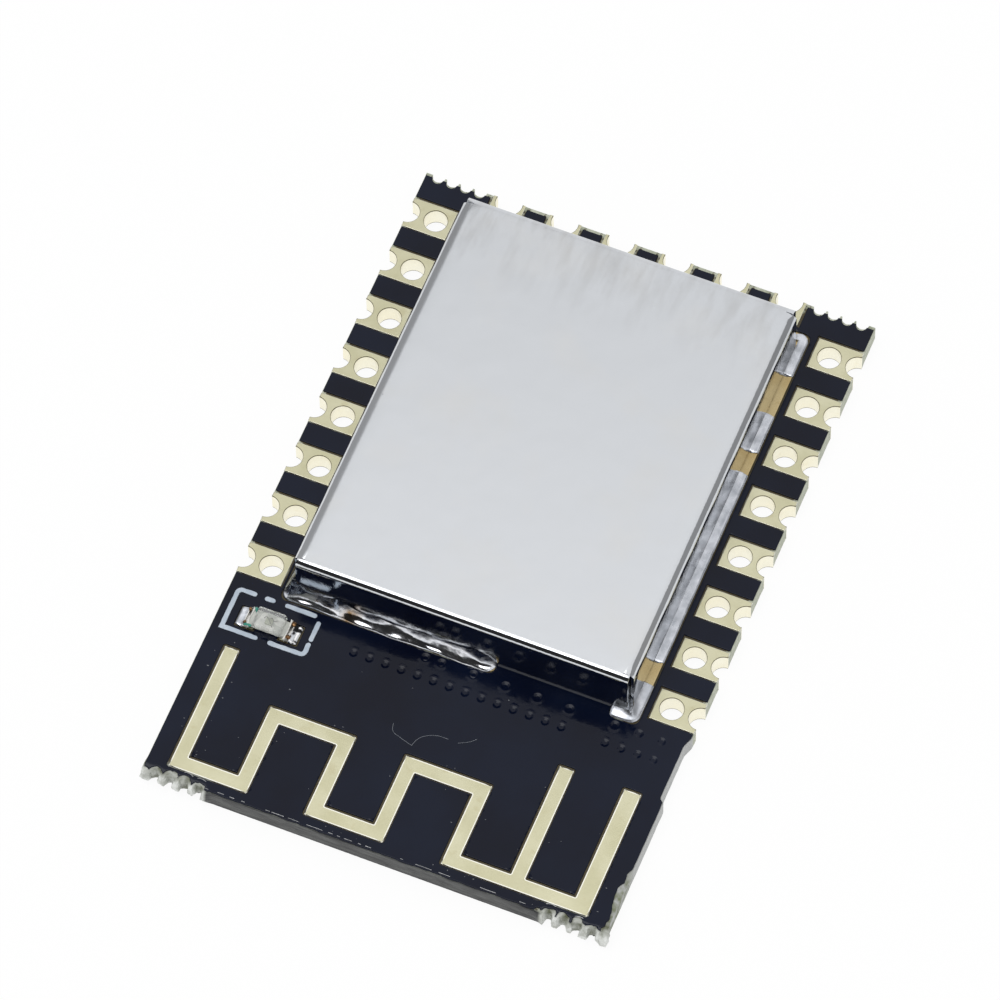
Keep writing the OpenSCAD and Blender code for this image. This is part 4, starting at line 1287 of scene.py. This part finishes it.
def make_can():
    """The folded sheet, thickened inward and with its cut edges eased."""
    obj = add_object("can", folded_sheet())
    solid = obj.modifiers.new("sheet", "SOLIDIFY")
    solid.thickness = SHEET * MM
    solid.offset = -1
    soft = obj.modifiers.new("edges", "BEVEL")
    soft.width = 0.014 * MM
    soft.segments = 2
    soft.limit_method = "ANGLE"
    soft.angle_limit = math.radians(50)
    bpy.context.view_layer.update()
    made = obj.evaluated_get(bpy.context.evaluated_depsgraph_get()).to_mesh()
    points = [can_warp(v.co / MM) for v in made.vertices]
    shape = Shape().add(points, [tuple(f.vertices) for f in made.polygons])
    bpy.data.objects.remove(obj)
    piece("can", shape, SHEET_METAL, "shield_sheet", "shield_can")


def bead(path, seed, leg, climb, waviness, taper=(0.25, 0.25), lip=0.05, peaks=()):
    """A run of solder. path holds (foot of the wall, outward direction) at each station.

    peaks are (place along the run, extra height, spread), for solder drawn up the wall.
    """
    lengths = [0.0]
    for (p, n), (q, m) in zip(path, path[1:]):
        lengths.append(lengths[-1] + max((q - p).length, (m - n).length * leg * 0.6))
    total = lengths[-1]
    section = 14
    points, faces = [], []
    for (p, n), s in zip(path, lengths):
        ends = min(1.0, (s + 0.004) / taper[0], (total - s + 0.004) / taper[1])
        size = math.sqrt(max(0.0, 1 - (1 - ends) ** 2))
        wide = leg * (1 + 0.5 * waviness * layered(s * 0.7, seed, 0, 0.8, 2)) * size
        tall = climb * (1 + 1.8 * waviness * layered(s * 0.7, seed, 5, 0.9, 2))
        drawn = sum(extra * math.exp(-(((s - at) / spread) ** 2)) for at, extra, spread in peaks)
        tall = (max(0.3 * climb, tall) + drawn) * size
        hollow = 2.2 + 1.1 * uneven(s * 0.8, seed, 9)
        rim = lip * size
        ring = []
        for k in range(section):
            u = k / (section - 1)
            swell = waviness * 0.10 * size * uneven(s * 1.6, seed, u * 1.6)
            height = rim + (max(tall, rim) - rim) * (1 - u) ** hollow + swell * math.sin(math.pi * u)
            toe = math.sqrt(max(0.0, 1 - max(0.0, (u - 0.72) / 0.28) ** 2))
            ring.append((p.x + n.x * wide * u, p.y + n.y * wide * u, LAND_TOP + max(0.004, height) * toe))
        ring.append((p.x, p.y, LAND_TOP))
        points += ring
    count = section + 1
    for i in range(len(path) - 1):
        a, b = i * count, (i + 1) * count
        faces += [(a + k, a + (k + 1) % count, b + (k + 1) % count, b + k) for k in range(count)]
    last = (len(path) - 1) * count
    faces += [tuple(range(count))[::-1], tuple(last + k for k in range(count))]
    return points, faces


def wall_path(start, end, normal, pitch=0.06):
    count = max(2, math.ceil((end - start).length / pitch))
    return [(start.lerp(end, i / count), normal) for i in range(count + 1)]


def turn_path(corner, first, second, count=12):
    """Stations that turn round a corner of the shield."""
    a0 = math.atan2(first.y, first.x)
    a1 = math.atan2(second.y, second.x)
    while a1 - a0 > math.pi:
        a1 -= 2 * math.pi
    while a1 - a0 < -math.pi:
        a1 += 2 * math.pi
    angles = [a0 + (a1 - a0) * i / count for i in range(1, count)]
    return [(corner, v2(math.cos(a), math.sin(a))) for a in angles]


def side_point(x, share):
    """The foot of the shield's side wall, at a share of its length from the near end."""
    return v2(x, CAN_LO.y + share * (CAN_HI.y - CAN_LO.y))


def make_solder():
    """Beads round the shield's foot: long runs that turn the corners, with bare land between them."""
    x0, y0, x1, y1 = CAN_LO.x, CAN_LO.y, CAN_HI.x, CAN_HI.y
    left, right, near, far = v2(-1, 0), v2(1, 0), v2(0, -1), v2(0, 1)
    leg = CAN_LO.y - RING_LO.y + 0.01
    low = {"waviness": 0.10, "lip": 0.045}
    near_run_end, corner_start = feed_gap()

    dull = Shape()
    for x, normal, seed in ((x1, right, 3.0), (x0, left, 14.0)):
        for i, (a, b) in enumerate(SIDE_BEADS[1:3]):
            path = wall_path(side_point(x, a), side_point(x, b), normal)
            dull.add(*bead(path, seed + i, leg, 0.07, taper=(0.05, 0.05), **low))
        corner = v2(x, y1)
        path = wall_path(side_point(x, SIDE_BEADS[3][0]), corner, normal) + turn_path(corner, normal, far)
        path += wall_path(corner, v2(x - normal.x * 0.3, y1), far)
        dull.add(*bead(path, seed + 5, leg, 0.10, taper=(0.06, 0.35), **low))
    path = wall_path(v2(x0 + 0.4, y1), v2(x1 - 0.4, y1), far)
    dull.add(*bead(path, 21.0, leg, 0.16, 0.12, (0.2, 0.2)))

    # near right corner: a smooth pool that turns the corner and fills the sheet's slit
    corner = v2(x1, y0)
    path = wall_path(v2(corner_start, y0), corner, near) + turn_path(corner, near, right)
    path += wall_path(corner, side_point(x1, SIDE_BEADS[0][1]), right)
    dull.add(*bead(path, 31.0, leg + 0.02, 0.12, 0.06, (0.12, 0.06), 0.055, [(0.9, 0.1, 0.35)]))
    for x in (x1 - 0.3, x0 + 0.02):
        slit = rectangle(x, y0 + 0.01, x + 0.28, y0 + 0.32)
        dull.add(*plate([slit], CORE_TOP + 0.01, LAND_TOP + 0.08, rim_rows(0.02), 0.08))
    piece("side_beads", dull, DULL_SOLDER, "solder", "shield_solder", smooth_angle=50)

    # near left corner and the long, uneven run along the near wall
    corner, side = v2(x0, y0), side_point(x0, SIDE_BEADS[0][1])
    path = wall_path(side, corner, left) + turn_path(corner, left, near)
    path += wall_path(corner, v2(near_run_end, y0), near)
    at_corner = side.y - y0 + 0.2
    peaks = [(at_corner, 0.8, 0.4), (at_corner + 1.7, 0.22, 0.7)]
    shape = Shape().add(*bead(path, 44.0, leg + 0.02, 0.36, 0.42, (0.12, 0.35), 0.065, peaks))
    piece("shield_beads", shape, SOLDER, "solder", "shield_solder", smooth_angle=50)


# ---------------------------------------------------------------- indicator lamp


def notch(x, y, sx, sy):
    """A quarter-round notch in a corner of the lamp, from its end face to its side."""
    quarter = [math.pi / 2 * i / 6 for i in range(7)]
    return [v2(sx * (x - NOTCH_R * math.cos(a)), sy * (y - NOTCH_R * math.sin(a))) for a in quarter]


def on_lamp(points):
    return [v2(LAMP_X + p.x, LAMP_Y + p.y) for p in points]


def notched_end(s, x_in, x_out, curve):
    """One end of the lamp: a slip with a notch in each outer corner and a bowed inner side."""
    half = LAMP_W / 2
    loop = []
    for k in range(9):
        t = k / 8
        loop.append(v2(x_in + curve * (1 - (2 * t - 1) ** 2), half * (1 - 2 * t)))
    loop += notch(x_out, half, 1, -1)[::-1] + notch(x_out, half, 1, 1)
    return on_lamp(v2(s * p.x, p.y) for p in closed(loop))


def notched_body():
    loop = []
    for sx, sy in ((-1, -1), (1, -1), (1, 1), (-1, 1)):
        arc = notch(LAMP_L / 2 - LAMP_WALL, LAMP_W / 2, sx, sy)
        loop += arc if sx * sy > 0 else arc[::-1]
    return on_lamp(closed(loop))


def make_lamp():
    """The lamp from its slip up: body, white caps, end metal, brown notches, lens and what is in it."""
    half_l = LAMP_L / 2
    slip = plate([notched_body()], BASE_LO.z, BASE_HI.z, rim_rows(0.01), 0.1)
    piece("lamp_slip", Shape().add(*slip), LAMP_WHITE, "lamp_body", "lamp_base")

    caps = Shape()
    for s, reach, curve in ((-1, 0.22, 0.07), (1, 0.2, 0.05)):
        cap = notched_end(s, half_l - reach, half_l, curve)
        caps.add(*plate([cap], BASE_HI.z, LAMP_HI.z, rim_rows(0.01), 0.06))
    piece("lamp_caps", caps, CAP_WHITE, "tin", "lamp_terminals")

    ends = Shape()
    for s in (-1, 1):
        foot = lamp_patch(s, half_l - 0.2, half_l, LAMP_LAND_HALF)
        ends.add(*plate([foot], LAMP_LO.z, BASE_LO.z, rim_rows(0.008), 0.1))
        wall = lamp_patch(s, half_l - LAMP_WALL, half_l, LAMP_W / 2 - NOTCH_R)
        ends.add(*plate([wall], BASE_LO.z, BASE_HI.z, rim_rows(0.004), 0.1))
    piece("lamp_end_metal", ends, LAMP_METAL, "tin", "lamp_terminals")

    notches = Shape()
    for sx, r in ((-1, 0.062), (1, 0.088)):
        for sy in (-1, 1):
            x, y = LAMP_X + sx * (half_l - 0.04), LAMP_Y + sy * 0.25
            notches.add(*ball(x, y, BASE_HI.z + 0.012, r, r, 0.055, 3.0 * sx + sy, 14))
    piece("lamp_notches", notches, NOTCH_BROWN, "copper")

    make_lens()
    make_lamp_inside()
    make_lamp_solder()
    make_lamp_marks()

    lands = Shape()
    for s in (-1, 1):
        land = rounded(lamp_patch(s, *LAMP_LAND, LAMP_LAND_HALF), 0.05)
        lands.add(*plate([land], CORE_TOP, LAND_TOP, rim_rows(0.01), 0.1))
    piece("lamp_pads", lands, GOLD, "gold_plating", "lamp_lands")


def make_lamp_marks():
    """Two green patches at the lens's left corners."""
    half_w = (LENS_HI.y - LENS_LO.y) / 2
    upper = [(-0.14, 0.0), (-0.02, -0.19), (0.0, 0.0)]
    lower = [(-0.26, 0.0), (0.02, 0.02), (0.0, 0.10), (-0.22, 0.09)]
    marks = Shape()
    for y, points in ((LAMP_Y + half_w, upper), (LAMP_Y - half_w, lower)):
        loop = rounded([v2(LENS_LO.x + dx, y + dy) for dx, dy in points], 0.03)
        marks.add(*plate([loop], BASE_HI.z, LAMP_HI.z + 0.006, rim_rows(0.004), 0.05))
    piece("lamp_marks", marks, POLARITY, "polarity_ink", "lamp_polarity_mark")


def make_lens():
    """The clear block: sloped ends and rounded edges."""
    lens = bmesh.new()
    bmesh.ops.create_cube(lens, size=1.0)
    size = LENS_HI - LENS_LO
    centre = (LENS_HI + LENS_LO) / 2
    for v in lens.verts:
        slope = 0.05 if v.co.z > 0 else 0.0
        x = v.co.x * size.x - math.copysign(slope, v.co.x)
        v.co = Vector((centre.x + x, centre.y + v.co.y * size.y, centre.z + v.co.z * size.z)) * MM
    bmesh.ops.bevel(lens, geom=lens.edges[:], offset=0.075 * MM, segments=6, profile=0.5, affect="EDGES")
    bmesh.ops.recalc_face_normals(lens, faces=lens.faces)
    shape = Shape().add([v.co / MM for v in lens.verts], [[v.index for v in f.verts] for f in lens.faces])
    lens.free()
    piece("lamp_window", shape, LENS, "clear_resin", "lamp_lens")


def make_lamp_inside():
    """Pads, die and bond wire that show through the lens."""
    z = BASE_HI.z
    pads = Shape()
    left = [(-0.44, -0.24), (-0.20, -0.26), (-0.02, -0.20), (0.20, -0.28), (0.26, -0.14), (0.02, -0.04),
            (-0.06, 0.10), (-0.14, 0.26), (-0.30, 0.24), (-0.34, 0.02)]
    right = [(0.10, 0.06), (0.22, -0.02), (0.40, -0.06), (0.44, 0.20), (0.26, 0.26), (0.14, 0.20)]
    for points in (left, right):
        loop = rounded([v2(LAMP_X + x, LAMP_Y + y) for x, y in points], 0.06)
        pads.add(*plate([loop], z, z + 0.02, rim_rows(0.006), 0.08))
    piece("lamp_lead_pads", pads, CAP_WHITE, "tin")
    die_lo, die_hi = box_mm("lamp_die")
    loop = rounded(rectangle(die_lo.x, die_lo.y, die_hi.x, die_hi.y), 0.03)
    piece("lamp_chip", Shape().add(*plate([loop], z + 0.02, die_hi.z, rim_rows(0.01), 0.06)),
          DIE, "die", "lamp_die")
    strands = [
        [(-0.20, 0.06, 0.03), (-0.12, 0.10, 0.16), (-0.02, 0.02, 0.17), (0.16, -0.16, 0.03)],
        [(-0.02, 0.03, 0.16), (0.06, 0.10, 0.18), (0.14, 0.04, 0.12), (0.24, 0.12, 0.03)],
    ]
    wires("lamp_wire", [[(LAMP_X + x, LAMP_Y + y, z + h) for x, y, h in strand] for strand in strands],
          0.011, DARK_WIRE)


def wires(name, strands, radius, material):
    """Thin round strands through the given points."""
    curve = bpy.data.curves.new(name, "CURVE")
    curve.dimensions = "3D"
    curve.bevel_depth = radius * MM
    curve.bevel_resolution = 2
    for strand in strands:
        spline = curve.splines.new("BEZIER")
        spline.bezier_points.add(len(strand) - 1)
        for knot, point in zip(spline.bezier_points, strand):
            knot.co = Vector(point) * MM
            knot.handle_left_type = knot.handle_right_type = "AUTO"
    curve.materials.append(material)
    obj = add_object(name, curve)
    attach(obj, "root")


def make_lamp_solder():
    """Solder on the lamp's two ends: a flat dull one on the left, and on the right one with painted
    highlights and dark reflections.
    """
    half = LAMP_LAND_HALF + 0.03
    reach = LAMP_LAND[1] - LAMP_L / 2 + 0.02
    for s, name, finish, climb, waviness, lip in (
        (-1, "lamp_bead_left", DULL_SOLDER, 0.05, 0.15, 0.035),
        (1, "lamp_bead_right", PAINTED_GLINT_SOLDER, 0.17, 0.8, 0.04),
    ):
        x = LAMP_X + s * LAMP_L / 2
        path = wall_path(v2(x, LAMP_Y - half), v2(x, LAMP_Y + half), v2(s, 0), 0.025)
        shape = Shape().add(*bead(path, 57.0 + s, reach, climb, waviness, (0.08, 0.08), lip))
        piece(name, shape, finish, "solder", "lamp_solder", smooth_angle=50)


def stroke(points, width):
    """The outline of a drawn line with round ends."""
    r = width / 2
    left, right = [], []
    for i, p in enumerate(points):
        before = (p - points[i - 1]).normalized() if i else (points[1] - p).normalized()
        after = (points[i + 1] - p).normalized() if i < len(points) - 1 else before
        na, nb = v2(-before.y, before.x), v2(-after.y, after.x)
        middle = (na + nb).normalized()
        middle = middle / max(0.5, middle.dot(na)) * r
        left.append(p + middle)
        right.append(p - middle)

    def cap(centre, direction):
        start = math.atan2(direction.y, direction.x) - math.pi / 2
        return [centre + v2(math.cos(start + math.pi * i / 8), math.sin(start + math.pi * i / 8)) * r
                for i in range(1, 8)]

    end = cap(points[-1], (points[-1] - points[-2]).normalized())
    begin = cap(points[0], (points[0] - points[1]).normalized())
    return right + end + left[::-1] + begin


def make_legend():
    """The broken outline printed round the lamp."""
    width = 0.165
    cx, cy = (OUTLINE_LO.x + OUTLINE_HI.x) / 2, (OUTLINE_LO.y + OUTLINE_HI.y) / 2
    a, b = (OUTLINE_HI.x - OUTLINE_LO.x - width) / 2, (OUTLINE_HI.y - OUTLINE_LO.y - width) / 2
    r = 0.14
    turn = [(r * (1 - math.sin(t)), r * (1 - math.cos(t))) for t in (0.0, 0.4, 0.8, 1.2, math.pi / 2)]
    lines = [
        [(-a + 0.55, b)] + [(-a + u, b - w) for u, w in turn] + [(-a, -b), (-a + 1.19, -b)],
        [(-a + 1.0, b), (-a + 1.2, b)],
        [(a - 1.19, b), (a - 0.22, b)],
        [(a, -b + 0.61), (a, b - 0.22)],
        [(a, -b + 0.4)] + [(a - u, -b + w) for u, w in reversed(turn)] + [(a - 1.19, -b)],
    ]
    shape = Shape()
    for i, line in enumerate(lines):
        loop = stroke([v2(cx + x, cy + y) for x, y in line], width)
        loop = ragged(loop, lambda x, y: 0.014, 3.0, i * 2.0, 0.05)
        inner = [p + n * 0.004 for p, n in zip(loop, left_normals(loop))]
        shape.add(*plate([inner], MASK_TOP - 0.006, OUTLINE_HI.z, rim_rows(0.01), 0.06))
    piece("lamp_legend", shape, INK, "legend_ink", "lamp_outline")


# ---------------------------------------------------------------- dust and fibre


def make_dust():
    """Pale specks on the mask, most of them along the inner edges of the meander."""
    rng = random.Random(7)
    shape = Shape()
    spots = [(rng.uniform(-7.4, 7.6), rng.uniform(-11.2, -5.0)) for _ in range(16)]
    trace = resampled(trace_outline(), 0.3)
    for p, n in zip(trace, left_normals(trace)):
        if rng.random() < 0.14:
            spots.append((p.x - n.x * rng.uniform(0.12, 0.25), p.y - n.y * rng.uniform(0.12, 0.25)))
    for x, y in spots:
        r = rng.uniform(0.008, 0.02)
        if not inside(np.array([x]), np.array([y]), [trace])[0]:
            z = MASK_TOP + mask_relief(x, y) + r * 0.2
            shape.add(*ball(x, y, z, r * rng.uniform(0.8, 2.2), r, r * 0.4, rng.uniform(0, 50)))
    piece("dust", shape, DUST, "solder_mask")


def make_rim_glints():
    """Painted highlights: pale strokes along the mask's near edge and round the torn scallops, standing in
    for light caught by the rims.
    """
    rng = random.Random(12)
    shape = Shape()
    x = -CORNER_END
    while x < CORNER_END:
        length = rng.uniform(0.08, 0.55)
        if rng.random() < (0.9 if x < -0.5 else 0.55):
            y = NEAR_Y + 0.115 + rng.uniform(-0.006, 0.006)
            width = rng.uniform(0.010, 0.020)
            middle = v2(x + length / 2, y + rng.uniform(-0.006, 0.006))
            line = stroke([v2(x, y), middle, v2(x + length, y)], width)
            z = MASK_TOP + mask_relief(x, y)
            shape.add(*plate([line], z - 0.02, z + 0.008, rim_rows(0.003), 0.05))
        x += length + rng.uniform(0.04, 0.3)
    # Pale arcs round the scallops: more painted highlight.
    for s in (-1, 1):
        for place in SCALLOP_PLACES[1:SCALLOPS]:
            cx = s * (HALF_W - place)
            r = SCALLOP_R + rng.uniform(0.12, 0.2)
            if rng.random() < 0.75:
                a0 = rng.uniform(0.9, 1.3)
                turns = [a0 + 0.16 * k for k in range(6)]
                arc = [v2(cx + r * math.cos(a), NEAR_Y + r * math.sin(a)) for a in turns]
                z = MASK_TOP + mask_relief(arc[3].x, arc[3].y)
                shape.add(*plate([stroke(arc, 0.014)], z - 0.03, z + 0.012, rim_rows(0.003), 0.04))
    piece("edge_nicks", shape, RIM_GLINT_PAINT, "laminate")


def make_fibre():
    z = MASK_TOP + 0.006
    strands = [
        [(-1.12, -7.48), (-1.02, -7.75), (-0.71, -7.88), (-0.27, -8.01)],
        [(-0.27, -8.01), (-0.17, -7.72), (0.0, -7.54), (0.36, -7.38), (0.75, -7.36)],
        [(1.08, -7.38), (1.42, -7.19), (1.60, -7.02)],
    ]
    wires("fibre", [[(x, y, z) for x, y in strand] for strand in strands], 0.0055, FIBRE)


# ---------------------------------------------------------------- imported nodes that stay

KEPT = {
    "ground_vias": COPPER,
    "part_lands": GOLD,
    "processor": PACKAGE,
    "processor_terminals": TIN,
    "memory_chip": PACKAGE,
    "memory_leads": TIN,
    "crystal_case": CERAMIC,
    "crystal_lid": LID,
    "capacitors": TAN,
    "capacitor_terminals": TIN,
    "resistors": GLAZE,
    "resistor_terminals": TIN,
    "inductors": PALE_BLUE,
    "inductor_terminals": TIN,
}


def finish_kept_nodes():
    for name, material in KEPT.items():
        slots = frame["nodes"][name].data.materials
        slots.clear()
        slots.append(material)


# ---------------------------------------------------------------- studio


def make_camera():
    """A long lens, high on the right of the antenna end."""
    aim = Vector((-1.03, 1.375, 0.8)) * MM
    distance, elevation, azimuth, roll = 292.34 * MM, 61.33, -66.67, 1.27
    e, a = math.radians(elevation), math.radians(azimuth)
    back = Vector((math.cos(e) * math.cos(a), math.cos(e) * math.sin(a), math.sin(e)))
    right = Vector((0, 0, 1)).cross(back).normalized()
    up = back.cross(right)
    turn = Matrix.Rotation(math.radians(-roll), 3, back)
    right, up = turn @ right, turn @ up
    camera = bpy.data.cameras.new("camera")
    camera.sensor_width = 36
    camera.lens = 322.74
    camera.clip_start = 0.01
    camera.clip_end = 20
    obj = add_object("camera", camera)
    spot = aim + back * distance
    obj.matrix_world = Matrix((
        (right.x, up.x, back.x, spot.x),
        (right.y, up.y, back.y, spot.y),
        (right.z, up.z, back.z, spot.z),
        (0, 0, 0, 1),
    ))
    bpy.context.scene.camera = obj


def stage_plane(name, centre, facing, width, height, material):
    """A flat stage piece that faces a direction."""
    mesh = bpy.data.meshes.new(name)
    w, h = width / 2, height / 2
    mesh.from_pydata([(-w, -h, 0), (w, -h, 0), (w, h, 0), (-w, h, 0)], [], [(0, 1, 2, 3)])
    mesh.materials.append(material)
    obj = add_object(name, mesh)
    obj.rotation_euler = Vector(facing).to_track_quat("Z", "Y").to_euler()
    obj.location = centre
    return obj


def shown(tree):
    """1 for what the camera sees, also in reflections and through glass."""
    ray = put(tree, "ShaderNodeLightPath").outputs
    seen = maths(tree, "MAXIMUM", ray["Is Camera Ray"], ray["Is Glossy Ray"])
    return maths(tree, "MAXIMUM", seen, ray["Is Transmission Ray"])


def glow(tree, tone):
    return put(tree, "ShaderNodeEmission", {"Color": rgb(tone, tone, tone)}).outputs[0]


def make_floor():
    """A white sweep that keeps a faint shadow."""
    material = bpy.data.materials.new("white floor")
    tree = emptied(material)
    matt = put(tree, "ShaderNodeBsdfDiffuse", {"Color": rgb(0.98, 0.98, 0.98)}).outputs[0]
    share = times(tree, shown(tree), 0.93)
    show(tree, put(tree, "ShaderNodeMixShader", {0: share, 1: matt, 2: glow(tree, 1)}).outputs[0])
    stage_plane("floor", (0, 0, 0), (0, 0, 1), 6.0, 6.0, material)


def make_card(name, direction, distance, width, height, tone):
    """A card seen only in reflections, which gives metal edges something darker to show."""
    material = bpy.data.materials.new(name)
    tree = emptied(material)
    show(tree, glow(tree, tone))
    way = Vector(direction).normalized()
    card = stage_plane(name, way * distance, -way, width, height, material)
    card.visible_camera = False
    card.visible_diffuse = False
    card.visible_shadow = False
    card.visible_transmission = False


def make_light(name, direction, distance, size, power):
    light = bpy.data.lights.new(name, "AREA")
    light.shape = "DISK"
    light.size = size
    light.energy = power
    obj = add_object(name, light)
    way = Vector(direction).normalized()
    obj.location = way * distance
    obj.rotation_euler = way.to_track_quat("Z", "Y").to_euler()


def make_studio():
    make_floor()
    world = bpy.data.worlds.new("studio")
    bpy.context.scene.world = world
    tree = emptied(world)
    level = span(tree, shown(tree), 0.0, 1.0, 0.75, 1.0)
    sky = put(tree, "ShaderNodeBackground", {"Color": rgb(1, 1, 1), "Strength": level}).outputs[0]
    show(tree, sky, "World")
    make_light("soft_key", (-0.17, -0.10, 0.98), 0.6, 0.40, 0.9)
    make_card("dark_card", (-0.15, -0.76, 0.66), 0.4, 0.6, 0.44, 0.03)
    make_card("grey_card_right", (0.73, 0.44, 0.52), 0.4, 0.34, 0.34, 0.36)
    make_card("grey_card_left", (-0.75, 0.44, 0.50), 0.4, 0.40, 0.40, 0.42)
    bpy.context.scene.view_settings.view_transform = "Standard"


make_camera()
make_board()
make_mask()
make_trace()
make_pads()
make_ring()
make_can()
make_solder()
make_lamp()
make_legend()
make_dust()
make_rim_glints()
make_fibre()
finish_kept_nodes()
make_studio()
